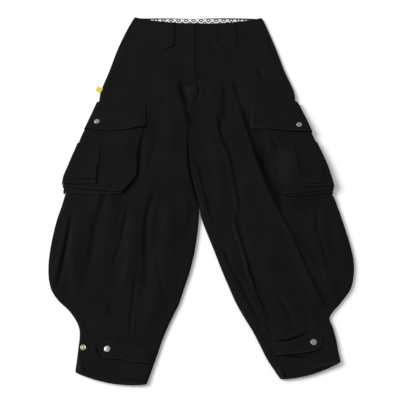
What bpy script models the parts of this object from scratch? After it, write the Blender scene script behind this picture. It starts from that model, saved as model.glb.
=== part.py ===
"""Balloon-leg knickerbockers in heavy black twill, laid flat on their back with the front up.

Millimetres are used in the tables and functions, and metres in the meshes. +X is towards the
wearer's left side, +Y towards the waist and +Z up from the surface. The origin lies on the
surface, under the middle of the garment.
"""
import math
from collections import namedtuple

import bmesh
import bpy
from mathutils import Vector
from mathutils.bvhtree import BVHTree

MM = 0.001

# Cloth and clearances
CLOTH = 1.5
THIN_CLOTH = 1.2
STRAP_CLOTH = 2.0
GAP = 0.3

# Lie of the leg panels
HOLLOW = 2.9
LEAST_HOLLOW = 0.7
EDGE_CURL = 2.0
CURL_REACH = 14.0
ROLL_REACH = 9.0
SEAM_DIP = 0.5
SEAM_HALF_GAP = 0.25
LEG_PARTING = 1.2
PARTING_FADE = 30.0
NO_EDGE = 1000.0
FOLD_END = 0.25
EDGE_STEPS = (3.0, 9.0, 20.0)
PANEL_ROWS = 31
COLUMNS = {"front": 15, "back": 6}

# Pocket zone, where half of each cargo pocket lies under the leg
POCKET_LIFT = 3.6
POCKET_LOW_Y = -50.0
POCKET_HIGH_Y = 230.0
POCKET_UNDER = 128.0
UNDER_STEPS = (28.0, 56.0, 84.0)
LIFT_FADE = 36.0
ZONE_GAIN = 6.0
FLAP_OVERLAP_Y = 104.0
OVERLAP_RAMP = 8.0
ROUND_DEPTH = 9.0
ROUND_COLUMNS = 7
ROUND_CLEARANCE = 2.0
PUFF = 3.0
PUFF_EDGES = (0.2, 0.25, 0.25)
FLAP_RISE = 0.9

Section = namedtuple("Section", "start_x start_y end_x end_y bow", defaults=(0.0,))
Fold = namedtuple("Fold", "width height path")
Bulge = namedtuple("Bulge", "x y half_width half_length height")
Lay = namedtuple("Lay", "rows columns reach")
Finish = namedtuple("Finish", "colour roughness metallic", defaults=(0.0,))

LEFT_BULGE = Bulge(217.0, 48.0, 25.0, 46.0, 5.4)

# Points of each laid piece, and how far it bridges what is under it
LAY = {"gusset": Lay(4, 12, 8), "pocket": Lay(12, 10, 8), "pleat": Lay(8, 6, 6), "pen_pocket": Lay(4, 5, 6),
       "flap": Lay(7, 10, 13), "facing": Lay(4, 13, 4), "fly": Lay(9, 4, 7), "loop": Lay(8, 4, 7),
       "strap": Lay(10, 4, 7), "label": Lay(2, 2, 1)}

# Round metal pieces, as profiles of (radius, height) from the top down
SNAP_RADIUS = 7.0
SNAP_PROFILE = ((0, 2.0), (3.85, 1.88), (6.2, 1.2), (SNAP_RADIUS, 0.5), (SNAP_RADIUS, 0), (0, 0))
STUD_RADIUS = 6.5
STUD_PROFILE = ((0, 2.6), (1.6, 2.4), (2.1, 1.6), (3.4, 1.2), (4.6, 2.0), (5.8, 1.8), (STUD_RADIUS, 0.8),
                (STUD_RADIUS, 0), (0, 0))
TURN_STEPS = 24
MERGE_METRES = 0.00001

BLACK_TWILL = Finish((0.016, 0.015, 0.017), 0.9)
PRINTED_COTTON = Finish((0.62, 0.6, 0.56), 0.85)
YELLOW_TAPE = Finish((0.6, 0.5, 0.05), 0.8)
NICKEL = Finish((0.42, 0.4, 0.4), 0.35, 1.0)
BRASS = Finish((0.5, 0.45, 0.38), 0.35, 1.0)

FORK = 11
CENTRE = (
    (-16, 481), (-16, 452), (-16, 390), (-15, 320), (-5, 254), (-20, 215),
    (-29, 168), (-33, 112), (-32, 62), (-27, 14), (-17, -32), (-5, -79),
)
BACK_CENTRE_TOP = 500
CROTCH_Y = 254

# Outer seam beside each point of the centre seam, then whole sections from the fork to the hem
RIGHT_OUTER = (
    (-186, 502), (-203, 462), (-226, 395), (-245, 322), (-263, 258), (-267, 215),
    (-280, 170), (-297, 115), (-313, 62), (-324, 12), (-329, -35), (-335, -66),
)
RIGHT_LOWER = (
    Section(-347, -118, -8, -125),
    Section(-355, -185, -16, -190),
    Section(-355, -240, -28, -245),
    Section(-346, -283, -42, -290),
    Section(-327, -312, -52, -322),
    Section(-297, -340, -64, -348),
    Section(-277, -368, -76, -375),
    Section(-270, -392, -88, -405),
    Section(-271, -430, -99, -440),
    Section(-273, -476, -120, -501, -10),
)
LEFT_OUTER = (
    (170, 499), (183, 461), (203, 395), (223, 320), (243, 258), (247, 215),
    (262, 170), (277, 115), (295, 62), (307, 12), (314, -35), (326, -66),
)
LEFT_LOWER = (
    Section(339, -118, 4, -118),
    Section(353, -190, 31, -192),
    Section(355, -236, 50, -245),
    Section(344, -283, 70, -296),
    Section(318, -318, 82, -324),
    Section(289, -352, 98, -354),
    Section(294, -380, 116, -385),
    Section(299, -408, 130, -414),
    Section(301, -432, 147, -450),
    Section(304, -454, 173, -490, -8),
)
FRONT_BOW = {"right": -6, "left": -7}
BACK_BOW = {"right": 1, "left": 3}

RIGHT_FOLDS = (
    Fold(12, -2.2, ((-312, -108), (-328, -193), (-330, -255))),
    Fold(14, -2.4, ((-240, -55), (-258, -155), (-265, -218), (-265, -291))),
    Fold(14, -2.2, ((-184, -103), (-197, -180), (-206, -223), (-210, -291))),
    Fold(14, -2.4, ((-132, -76), (-136, -155), (-134, -230), (-132, -279))),
    Fold(12, -2.0, ((-120, -213), (-100, -255), (-92, -314))),
    Fold(12, -2.2, ((-154, -255), (-158, -314), (-161, -361), (-160, -417))),
    Fold(16, -1.8, ((-106, 166), (-121, 62), (-127, -3))),
    Fold(12, -2.2, ((-57, 307), (-48, 243), (-37, 190), (-31, 151))),
    Fold(20, 4.2, ((-282, -100), (-294, -190), (-298, -262), (-270, -330))),
    Fold(20, 4.4, ((-215, -80), (-228, -165), (-236, -240), (-236, -330))),
    Fold(22, 4.6, ((-158, -80), (-168, -165), (-172, -240), (-184, -350))),
    Fold(24, 4.4, ((-80, -90), (-84, -190), (-112, -330), (-130, -390))),
    Fold(22, 2.6, ((-74, 190), (-82, 90), (-88, -20))),
    Fold(13, 2.8, ((-36, 275), (-24, 235))),
)
LEFT_FOLDS = (
    Fold(13, -2.4, ((100, 259), (115, 212), (127, 172), (133, 121), (139, 77), (152, 20))),
    Fold(13, -2.6, ((146, 40), (174, -44), (201, -129), (232, -205), (262, -279), (286, -345))),
    Fold(12, -2.3, ((46, 151), (63, 77), (77, 6), (85, -63), (92, -167), (107, -223))),
    Fold(12, -2.3, ((100, -200), (126, -291), (150, -361), (164, -395))),
    Fold(11, -2.0, ((10, 62), (28, -116), (63, -218), (100, -302), (128, -361))),
    Fold(13, -2.0, ((280, -103), (280, -193), (297, -267))),
    Fold(12, -2.0, ((158, -291), (199, -372))),
    Fold(13, -1.8, ((50, 259), (65, 181), (73, 77))),
    Fold(18, 4.8, ((78, 240), (92, 150), (108, 60), (136, -40), (166, -130), (200, -210), (236, -300))),
    Fold(18, 4.4, ((22, 190), (34, 90), (50, -30), (58, -130), (84, -220), (122, -320))),
    Fold(22, 4.4, ((124, -60), (138, -160), (160, -250), (204, -340))),
    Fold(20, 4.6, ((226, -80), (254, -160), (282, -240), (306, -290))),
    Fold(16, 3.4, ((318, -110), (326, -190), (326, -250))),
)

# Laid pieces: each section runs from the piece's inner edge to its outer one
RIGHT_POCKET = (
    Section(-193, -43, -340.8, -27, -2),
    Section(-165, -5, -338, 0),
    Section(-161, 20, -332.5, 20),
    Section(-162, 71, -318, 71),
    Section(-152, 122, -303, 122),
    Section(-150, 145, -293, 145),
    Section(-148, 205, -274, 205),
)
LEFT_POCKET = (
    Section(200, -52, 325, -35),
    Section(174, -13, 322, -8),
    Section(162, 20, 316, 20),
    Section(153, 71, 301, 71),
    Section(143, 122, 283, 122),
    Section(140, 145, 274, 145),
    Section(137, 200, 256, 200),
)
RIGHT_GUSSET = (
    Section(-194, -47, -338, -44, -4), Section(-186, -32, -338, -30), Section(-178, -14, -337, -14))
LEFT_GUSSET = (
    Section(210, -56, 323, -45), Section(194, -36, 322, -32), Section(184, -20, 321, -18))
RIGHT_PLEAT = (
    Section(-258, -24, -343.4, -22), Section(-257, 4, -341, 2), Section(-256, 32, -333, 30),
    Section(-254, 94, -315.5, 92))
LEFT_PLEAT = (Section(250, -30, 328, -29), Section(245, 30, 318, 24), Section(233, 98, 296, 94))
RIGHT_PEN = (Section(-259, -12, -311, -10), Section(-258.5, 31, -308, 31.5))
LEFT_PEN = (Section(254, -24, 303, -24), Section(251.5, 19, 299, 21))
RIGHT_FLAP = (
    Section(-144, 145, -299.5, 137, -13), Section(-145, 165, -292, 160, -4), Section(-147, 209, -274, 217, 1))
LEFT_FLAP = (
    Section(127, 136, 284, 126, -5), Section(129, 162, 275, 158, -2), Section(131, 201, 254, 217, 4))
RIGHT_STRAP = (
    Section(-104, -427, -107, -457), Section(-128, -428, -129, -456), Section(-153, -427, -154, -454),
    Section(-179, -419, -179, -448), Section(-206, -408, -212, -446), Section(-226, -418, -227, -425))
LEFT_STRAP = (
    Section(150, -413, 160, -440), Section(187, -413, 188, -438), Section(214, -405, 217, -436),
    Section(244, -394, 248, -430), Section(267, -405, 266, -420))
RIGHT_LOOP = (
    Section(-123, 484, -75, 479), Section(-123, 440, -75, 440), Section(-122, 405, -76, 405),
    Section(-112, 396, -87, 396), Section(-101, 387, -97, 387))
LEFT_LOOP = (
    Section(51, 476, 98, 484), Section(51, 440, 98, 440), Section(52, 404, 97, 402),
    Section(63, 394, 87, 393), Section(74, 385, 78, 385))
FLY = (
    Section(-14, 479, 25, 477), Section(-14, 420, 25, 420), Section(-14, 352, 23, 352),
    Section(-13, 312, 11, 312), Section(-11, 292, -5, 292))
FACING = (Section(-166, 444, 148, 444), Section(-166, 472, 150, 470), Section(-158, 498, 144, 497, 3))
LABEL = (Section(-272, 267, -259, 259), Section(-278, 254, -265, 246))

SNAPS = {"flap_snap_right": (-267, 154), "flap_snap_left": (250.5, 143.5),
         "strap_snap_right": (-207, -427), "strap_snap_left": (248, -412)}
STUD = (-260.5, -423)


def smooth_value(values, place, breaks=()):
    """A smooth value at a place along a list, with corners kept at the breaks."""
    last = len(values) - 1
    index = min(int(place), last - 1)
    part = place - index

    def slope(i):
        """Slope at a value, one-sided at the ends and next to a break."""
        before = values[i - 1] if i > 0 and not (i in breaks and i == index) else None
        after = values[i + 1] if i < last and not (i in breaks and i == index + 1) else None
        if before is None:
            return after - values[i]
        if after is None:
            return values[i] - before
        return (after - before) / 2

    a, b = values[index], values[index + 1]
    cubed, squared = part ** 3, part ** 2
    return ((2 * cubed - 3 * squared + 1) * a + (cubed - 2 * squared + part) * slope(index)
            + (3 * squared - 2 * cubed) * b + (cubed - squared) * slope(index + 1))


def blend(value):
    """Ease from 0 to 1."""
    value = min(max(value, 0.0), 1.0)
    return value * value * (3 - 2 * value)


def spaced(first, last, count):
    """Evenly spaced values with both ends."""
    return [first + (last - first) * i / (count - 1) for i in range(count)]


def section_at(sections, place, breaks=()):
    """The section at a place along the loft; its end points keep a corner at each break."""
    start = [smooth_value([s[i] for s in sections], place) for i in (0, 1)]
    end = [smooth_value([s[i] for s in sections], place, breaks) for i in (2, 3)]
    return Section(*start, *end, smooth_value([s.bow for s in sections], place))


def point_on(section, share):
    """A point of a section, at a share of the way from its start to its end."""
    bow = section.bow * 4 * share * (1 - share)
    return (section.start_x + (section.end_x - section.start_x) * share,
            section.start_y + (section.end_y - section.start_y) * share + bow)


def distance_to(path, x, y):
    """Distance from a point to a path, and how far along the path the nearest place is, 0 to 1."""
    lengths = [math.dist(a, b) for a, b in zip(path, path[1:])]
    best, run = None, 0.0
    for a, b, length in zip(path, path[1:], lengths):
        share = ((x - a[0]) * (b[0] - a[0]) + (y - a[1]) * (b[1] - a[1])) / length ** 2
        share = min(max(share, 0.0), 1.0)
        away = math.hypot(x - a[0] - share * (b[0] - a[0]), y - a[1] - share * (b[1] - a[1]))
        if best is None or away < best[0]:
            best = (away, run + share * length)
        run += length
    return best[0], best[1] / run


def fold_height(folds, x, y):
    """What all the folds of a leg add to the height at a point."""
    height = 0.0
    for fold in folds:
        away, along = distance_to(fold.path, x, y)
        ends = blend(along / FOLD_END) * blend((1 - along) / FOLD_END)
        height += fold.height * ends * math.exp(-(away / fold.width) ** 2)
    return height


def pocket_zone(outer_distance, y):
    """1 over a cargo pocket, fading to 0 around it."""
    across = blend((POCKET_UNDER + LIFT_FADE - outer_distance) / LIFT_FADE)
    below = blend((y - POCKET_LOW_Y + LIFT_FADE) / LIFT_FADE)
    above = blend((POCKET_HIGH_Y + LIFT_FADE - y) / LIFT_FADE)
    return across * below * above


def curl(distance):
    """How far the back panel curls up at its edge."""
    return EDGE_CURL * max(0.0, 1 - distance / CURL_REACH) ** 2


def roll(distance):
    """Share of the hollow that the front panel has reached at a distance from its edge."""
    return math.sqrt(1 - (1 - min(distance / ROLL_REACH, 1.0)) ** 2)


def leg_sections(side, top):
    """The sections of one leg from the waist to the hem, for the front or the back panel."""
    outer, lower, out_sign = ((RIGHT_OUTER, RIGHT_LOWER, -1), (LEFT_OUTER, LEFT_LOWER, 1))[side == "left"]
    sections = []
    for index, (out, centre) in enumerate(zip(outer, CENTRE)):
        centre_y = BACK_CENTRE_TOP if index == 0 and top == "back" else centre[1]
        half_gap = SEAM_HALF_GAP if centre[1] > CROTCH_Y - 1 else LEG_PARTING
        sections.append(Section(*out, centre[0] + out_sign * half_gap, centre_y))
    bows = FRONT_BOW if top == "front" else BACK_BOW
    sections[0] = sections[0]._replace(bow=bows[side])
    return tuple(sections) + lower


def panel_heights(side, kind, x, y, outer_distance, inner_distance):
    """Height of a panel's lower face."""
    joined = 1 - blend((CROTCH_Y - y) / PARTING_FADE)
    inner_edge = inner_distance + joined * NO_EDGE
    edge = min(outer_distance, inner_edge)
    zone = pocket_zone(outer_distance, y)
    back = POCKET_LIFT * zone + curl(edge)
    if kind == "back":
        return back
    folds = RIGHT_FOLDS if side == "right" else LEFT_FOLDS
    least = LEAST_HOLLOW + (HOLLOW - LEAST_HOLLOW) * min(1.0, ZONE_GAIN * zone)
    hollow = max(HOLLOW + fold_height(folds, x, y), least) * roll(edge)
    seam = SEAM_DIP * joined * max(0.0, 1 - inner_distance / ROLL_REACH)
    return back + CLOTH + GAP + hollow - seam


def leg_panel(side, kind):
    """Grid of points for the lower face of one leg panel."""
    sections = leg_sections(side, kind)
    grid = []
    for place in spaced(0, len(sections) - 1, PANEL_ROWS):
        section = section_at(sections, place, (FORK,))
        width = math.hypot(section.end_x - section.start_x, section.end_y - section.start_y)
        stops = [0.0, *EDGE_STEPS]
        stops += spaced(EDGE_STEPS[-1], width - EDGE_STEPS[-1], COLUMNS[kind])[1:-1]
        stops += [width - step for step in reversed((0.0, *EDGE_STEPS))]
        row = []
        for stop in stops:
            x, y = point_on(section, stop / width)
            row.append((x, y, panel_heights(side, kind, x, y, stop, width - stop)))
        grid.append(row)
    return grid


def paint(name, finish):
    """A material of a piece's own."""
    material = bpy.data.materials.new(name + "_finish")
    material.use_nodes = True
    shader = material.node_tree.nodes["Principled BSDF"]
    shader.inputs["Base Color"].default_value = (*finish.colour, 1)
    shader.inputs["Roughness"].default_value = finish.roughness
    shader.inputs["Metallic"].default_value = finish.metallic
    return material


def place_mesh(name, mesh, collection, finish):
    """An object for a mesh, with its own material."""
    mesh.materials.append(paint(name, finish))
    thing = bpy.data.objects.new(name, mesh)
    collection.objects.link(thing)
    return thing


def cloth_sheet(name, grid, thickness, collection, finish=BLACK_TWILL):
    """A wall of cloth: the grid is its lower face, and the wall grows upwards or outwards."""
    mesh = bpy.data.meshes.new(name)
    shape = bmesh.new()
    rows = [[shape.verts.new(Vector(point) * MM) for point in row] for row in grid]
    for low, high in zip(rows, rows[1:]):
        for a, b, c, d in zip(low, low[1:], high[1:], high):
            shape.faces.new((a, b, c, d))
    bmesh.ops.recalc_face_normals(shape, faces=shape.faces)
    top = max(shape.faces, key=lambda face: face.calc_center_median().z)
    if top.normal.z < 0:
        bmesh.ops.reverse_faces(shape, faces=shape.faces)
    bmesh.ops.triangulate(shape, faces=shape.faces)
    shape.to_mesh(mesh)
    shape.free()
    mesh.shade_smooth()
    thing = place_mesh(name, mesh, collection, finish)
    wall = thing.modifiers.new("wall", "SOLIDIFY")
    wall.thickness = thickness * MM
    wall.offset = 1
    return thing


class Ground:
    """The cloth that has been laid so far, seen from above."""

    def __init__(self, *things):
        depsgraph = bpy.context.evaluated_depsgraph_get()
        self.trees = [BVHTree.FromObject(thing, depsgraph) for thing in things]

    def top(self, x, y):
        """Highest cloth at a point, or None off the cloth."""
        hits = [tree.ray_cast(Vector((x * MM, y * MM, 1)), Vector((0, 0, -1)))[0] for tree in self.trees]
        heights = [hit.z / MM for hit in hits if hit]
        return max(heights) if heights else None

    def over(self, x, y, reach):
        """Highest place within reach of a point, or None off the cloth."""
        steps = (-reach, -reach / 2, 0, reach / 2, reach)
        heights = [self.top(x + dx, y + dy) for dx in steps for dy in steps]
        heights = [height for height in heights if height is not None]
        return max(heights) if heights else None


def laid_grid(sections, lay, ground, rise=None):
    """A grid that follows the ground at the seam gap, raised further by rise(x, y, along, across)."""
    grid = []
    for place in spaced(0, len(sections) - 1, lay.rows):
        section = section_at(sections, place)
        row = []
        for share in spaced(0, 1, lay.columns):
            x, y = point_on(section, share)
            height = ground.over(x, y, lay.reach)
            extra = rise(x, y, place / (len(sections) - 1), share) if rise else 0.0
            row.append([x, y, height, extra])
        known = [point[2] for point in row if point[2] is not None]
        highest = max(known) if known else 0.0
        grid.append([(x, y, (highest if z is None else z) + GAP + extra) for x, y, z, extra in row])
    return grid


def wrap_round(grid, side, wall, under_height, last_angle, under_reach):
    """Carry each row of a laid grid round the leg's outer edge and, where asked, back under it."""
    out = -1 if side == "right" else 1
    wrapped = []
    for row in grid:
        x, y, z = row[-1]
        low = under_height(y)
        flat = [point for point in row[:-1] if abs(point[0] - x) > ROUND_DEPTH + ROUND_CLEARANCE]
        top = flat[-1][2] if flat else z
        depth, half = ROUND_DEPTH - wall, (top - low) / 2
        middle_x = x - out * ROUND_DEPTH
        turn = []
        for angle in spaced(90, last_angle, ROUND_COLUMNS):
            turned = math.radians(angle)
            turn.append((middle_x + out * depth * math.cos(turned), y, low + half + half * math.sin(turned)))
        under = [(middle_x - out * step, y, low) for step in under_reach]
        wrapped.append(flat + turn + under)
    return wrapped


def same_count(grid):
    """Give every row the count of points of the longest, by halving its longest first steps."""
    most = max(len(row) for row in grid)
    for row in grid:
        while len(row) < most:
            steps = [math.dist(a, b) for a, b in zip(row, row[1:])]
            widest = steps.index(max(steps))
            a, b = row[widest], row[widest + 1]
            row.insert(widest + 1, tuple((p + q) / 2 for p, q in zip(a, b)))
    return grid


def turned_piece(name, profile, place, collection, finish):
    """A round piece: its profile of (radius, height) is turned about the upright axis."""
    mesh = bpy.data.meshes.new(name)
    shape = bmesh.new()
    points = [shape.verts.new((radius * MM, 0, height * MM)) for radius, height in profile]
    for a, b in zip(points, points[1:]):
        shape.edges.new((a, b))
    shape.to_mesh(mesh)
    shape.free()
    thing = place_mesh(name, mesh, collection, finish)
    screw = thing.modifiers.new("turn", "SCREW")
    screw.steps = TURN_STEPS
    screw.render_steps = TURN_STEPS
    screw.use_merge_vertices = True
    screw.merge_threshold = MERGE_METRES
    thing.location = Vector(place) * MM
    return thing


def pocket_rise(side):
    """Extra height of a pocket body over its leg: the bellows, and the bulge of the left one."""
    lower_edge, upper_edge, inner_edge = PUFF_EDGES

    def rise(x, y, along, across):
        """The extra height at a point, from its shares along and across the body."""
        lower, upper = min(along / lower_edge, 1.0), min((1 - along) / upper_edge, 1.0)
        height = CLOTH + 2 * GAP + PUFF * blend(lower * upper * min(across / inner_edge, 1.0))
        if side == "left":
            away_x = (x - LEFT_BULGE.x) / LEFT_BULGE.half_width
            away_y = (y - LEFT_BULGE.y) / LEFT_BULGE.half_length
            height += LEFT_BULGE.height * math.exp(-away_x ** 2 - away_y ** 2)
        return height
    return rise


def body_under(y):
    """Lower face of a pocket body's hidden half: on the surface, and over the flap's own half."""
    return CLOTH + (CLOTH + GAP) * blend((y - FLAP_OVERLAP_Y) / OVERLAP_RAMP)


def build_panels(collection):
    """The two panels of each leg."""
    panels = {}
    for side in ("right", "left"):
        for kind in ("back", "front"):
            name = f"{kind}_{side}"
            panels[name] = cloth_sheet(name, leg_panel(side, kind), CLOTH, collection)
    return panels


def build_pocket(side, sections, leg, collection):
    """Gusset, body, pleat, pen pocket and flap of one cargo pocket; the flap is returned."""
    body_rows, gusset_rows, pleat_rows, pen_rows, flap_rows = sections

    def sheet(kind, grid, thickness=CLOTH):
        """One cloth piece of the pocket."""
        return cloth_sheet(f"{kind}_{side}", same_count(grid), thickness, collection)

    ground = Ground(leg)
    grid = laid_grid(gusset_rows, LAY["gusset"], ground)
    sheet("gusset", wrap_round(grid, side, CLOTH, lambda y: 2 * CLOTH + 2 * GAP, -50, ()))
    grid = laid_grid(body_rows, LAY["pocket"], ground, pocket_rise(side))
    body = sheet("pocket", wrap_round(grid, side, CLOTH, body_under, -90, UNDER_STEPS))
    grid = laid_grid(pleat_rows, LAY["pleat"], Ground(body))
    pleat = sheet("pleat", wrap_round(grid, side, THIN_CLOTH, lambda y: -GAP, -20, ()), THIN_CLOTH)
    sheet("pen_pocket", laid_grid(pen_rows, LAY["pen_pocket"], Ground(pleat)), THIN_CLOTH)
    ground = Ground(leg, body, pleat)
    grid = laid_grid(flap_rows, LAY["flap"], ground, lambda x, y, along, across: FLAP_RISE)
    return sheet("flap", wrap_round(grid, side, CLOTH, lambda y: CLOTH, -90, UNDER_STEPS))


def build_garment():
    """Lay the garment from the surface upwards."""
    for thing in list(bpy.data.objects):
        bpy.data.objects.remove(thing, do_unlink=True)
    garment = bpy.data.collections.new("knickerbockers")
    bpy.context.scene.collection.children.link(garment)

    panels = build_panels(garment)
    backs = Ground(panels["back_right"], panels["back_left"])
    cloth_sheet("waist_facing", laid_grid(FACING, LAY["facing"], backs), THIN_CLOTH, garment, PRINTED_COTTON)

    rows = {"right": (RIGHT_POCKET, RIGHT_GUSSET, RIGHT_PLEAT, RIGHT_PEN, RIGHT_FLAP),
            "left": (LEFT_POCKET, LEFT_GUSSET, LEFT_PLEAT, LEFT_PEN, LEFT_FLAP)}
    flaps = {}
    for side in ("right", "left"):
        flaps[side] = build_pocket(side, rows[side], panels[f"front_{side}"], garment)

    fronts = Ground(panels["front_right"], panels["front_left"])
    trims = (("fly_placket", FLY, "fly", THIN_CLOTH), ("belt_loop_right", RIGHT_LOOP, "loop", CLOTH),
             ("belt_loop_left", LEFT_LOOP, "loop", CLOTH), ("strap_right", RIGHT_STRAP, "strap", STRAP_CLOTH),
             ("strap_left", LEFT_STRAP, "strap", STRAP_CLOTH))
    laid = {}
    for name, sections, kind, thickness in trims:
        laid[name] = cloth_sheet(name, laid_grid(sections, LAY[kind], fronts), thickness, garment)

    label_grid = laid_grid(LABEL, LAY["label"], fronts)
    level = max(point[2] for row in label_grid for point in row)
    label_grid = [[(x, y, level) for x, y, z in row] for row in label_grid]
    cloth_sheet("side_label", label_grid, THIN_CLOTH, garment, YELLOW_TAPE)

    carriers = {"flap_snap_right": flaps["right"], "flap_snap_left": flaps["left"],
                "strap_snap_right": laid["strap_right"], "strap_snap_left": laid["strap_left"]}
    for name, (x, y) in SNAPS.items():
        height = Ground(carriers[name]).over(x, y, SNAP_RADIUS) + GAP
        turned_piece(name, SNAP_PROFILE, (x, y, height), garment, NICKEL)
    height = fronts.over(*STUD, STUD_RADIUS) + GAP
    turned_piece("cuff_stud_right", STUD_PROFILE, (*STUD, height), garment, BRASS)


build_garment()
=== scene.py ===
"""Black twill knickerbockers lying flat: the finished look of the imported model.

The tables and functions work in millimetres and the meshes are in metres. +X is towards the
wearer's left side, +Y towards the waist and +Z up from the surface the garment lies on.
"""

import logging
import math
from dataclasses import dataclass, field
from enum import Enum

import bpy
import numpy as np
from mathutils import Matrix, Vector, noise
from mathutils.bvhtree import BVHTree


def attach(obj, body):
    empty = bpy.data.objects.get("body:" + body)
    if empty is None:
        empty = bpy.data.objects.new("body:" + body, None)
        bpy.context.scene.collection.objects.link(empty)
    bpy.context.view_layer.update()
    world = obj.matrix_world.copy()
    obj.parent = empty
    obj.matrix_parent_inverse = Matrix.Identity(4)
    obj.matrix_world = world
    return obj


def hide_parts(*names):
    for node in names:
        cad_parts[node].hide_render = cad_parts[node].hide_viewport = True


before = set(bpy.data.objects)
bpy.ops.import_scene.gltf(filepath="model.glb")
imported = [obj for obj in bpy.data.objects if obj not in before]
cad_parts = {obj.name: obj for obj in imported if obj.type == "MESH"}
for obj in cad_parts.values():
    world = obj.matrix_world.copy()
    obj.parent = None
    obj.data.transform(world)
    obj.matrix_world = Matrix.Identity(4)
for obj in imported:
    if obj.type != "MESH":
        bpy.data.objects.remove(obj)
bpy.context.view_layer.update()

log = logging.getLogger("knickerbockers")

MM = 0.001

# Cloth and the room between layers, as in the solids
CLOTH = 1.5
THIN_CLOTH = 1.2
STRAP_CLOTH = 2.0
GAP = 0.3
POCKET_LIFT = 3.6
ROUND_DEPTH = 9.0
TURN_START = 84
TURN_POINTS = 13
FORK = 11
STITCH_ROWS = (2.0, 7.5)
WAIST_STITCH = 3.5
HEM_STITCH = 22.0
MOUTH_STITCHES = (3.5, 9.0)
WAVE_FADE = 6
HEM_WEAR = 0.2
PALE_WIDTH = 1.9
RIM_BULGE = 0.45
TINY = 1e-9
CLOTH_WORD = "_cloth"
TWILL = "black_twill"

# Name of the mesh values that make the cloth paler where it is worn and where highlights are painted, and
# darker where shade is painted; length of the wave texture's wave, diagonal of a square
WEAR_AND_PAINTED_LIGHT = "wear"
WAVE_LENGTH = 2 * math.pi / 20
DIAGONAL = 1.4142

# Rays that find the cloth start this high, in metres, and go down
RAY_START = 0.2
DOWN = Vector((0, 0, -1))

Path = tuple[tuple[float, float], ...]
Rows = tuple[tuple[float, ...], ...]
Colour = tuple[float, float, float]
Array = np.ndarray
Piece = bpy.types.Object
Material = bpy.types.Material
Socket = bpy.types.NodeSocket
Value = Socket | Colour | float


class Side(Enum):
    """The leg that a piece belongs to, by the wearer's own sides."""

    RIGHT = "right"
    LEFT = "left"

    @property
    def out(self) -> int:
        """Sign of X towards the outer seam."""
        return -1 if self is Side.RIGHT else 1


class Layer(Enum):
    """The two panels of a leg."""

    FRONT = "front"
    BACK = "back"


class Lip(Enum):
    """The side of a crease on which the cloth stands higher, on a path that runs down the leg."""

    WEST = -1
    BOTH = 0
    EAST = 1


class Edge(Enum):
    """The four edges of a laid piece, named by its table of sections."""

    FIRST = "first"
    LAST = "last"
    INNER = "inner"
    OUTER = "outer"


# Outer seam beside each point of the centre seam, then whole sections from the fork to the hem.
# A section is start x, start y, end x, end y and the bow of its middle.
CENTRE: Path = (
    (-16, 481), (-16, 452), (-16, 390), (-15, 320), (-5, 254), (-20, 215),
    (-29, 168), (-33, 112), (-32, 62), (-27, 14), (-17, -32), (-5, -79),
)
OUTER: dict[Side, Path] = {
    Side.RIGHT: (
        (-186, 502), (-203, 462), (-226, 395), (-245, 322), (-263, 258), (-267, 215),
        (-280, 170), (-297, 115), (-313, 62), (-324, 12), (-329, -35), (-335, -66),
    ),
    Side.LEFT: (
        (170, 499), (183, 461), (203, 395), (223, 320), (243, 258), (247, 215),
        (262, 170), (277, 115), (295, 62), (307, 12), (314, -35), (326, -66),
    ),
}
LOWER: dict[Side, Rows] = {
    Side.RIGHT: (
        (-347, -118, -8, -125, 0), (-355, -185, -16, -190, 0), (-355, -240, -28, -245, 0),
        (-346, -283, -42, -290, 0), (-327, -312, -52, -322, 0), (-297, -340, -64, -348, 0),
        (-277, -368, -76, -375, 0), (-270, -392, -88, -405, 0), (-271, -430, -99, -440, 0),
        (-273, -476, -120, -501, -10),
    ),
    Side.LEFT: (
        (339, -118, 4, -118, 0), (353, -190, 31, -192, 0), (355, -236, 50, -245, 0),
        (344, -283, 70, -296, 0), (318, -318, 82, -324, 0), (289, -352, 98, -354, 0),
        (294, -380, 116, -385, 0), (299, -408, 130, -414, 0), (301, -432, 147, -450, 0),
        (304, -454, 173, -490, -8),
    ),
}
WAIST_BOW = {
    (Layer.FRONT, Side.RIGHT): -6, (Layer.FRONT, Side.LEFT): -7,
    (Layer.BACK, Side.RIGHT): 1, (Layer.BACK, Side.LEFT): 3,
}
BACK_WAIST_Y = 500

# Half the gap between the legs at the centre seam, by how far below the middle of the garment it lies
GAP_PLACES = (-1000, -140, -90, -40, 10, 50, 90)
HALF_GAPS = {Layer.FRONT: (0.3, 0.4, 1.2, 2.4, 2.6, 2.2, 1.2), Layer.BACK: (GAP,) * 7}


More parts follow.
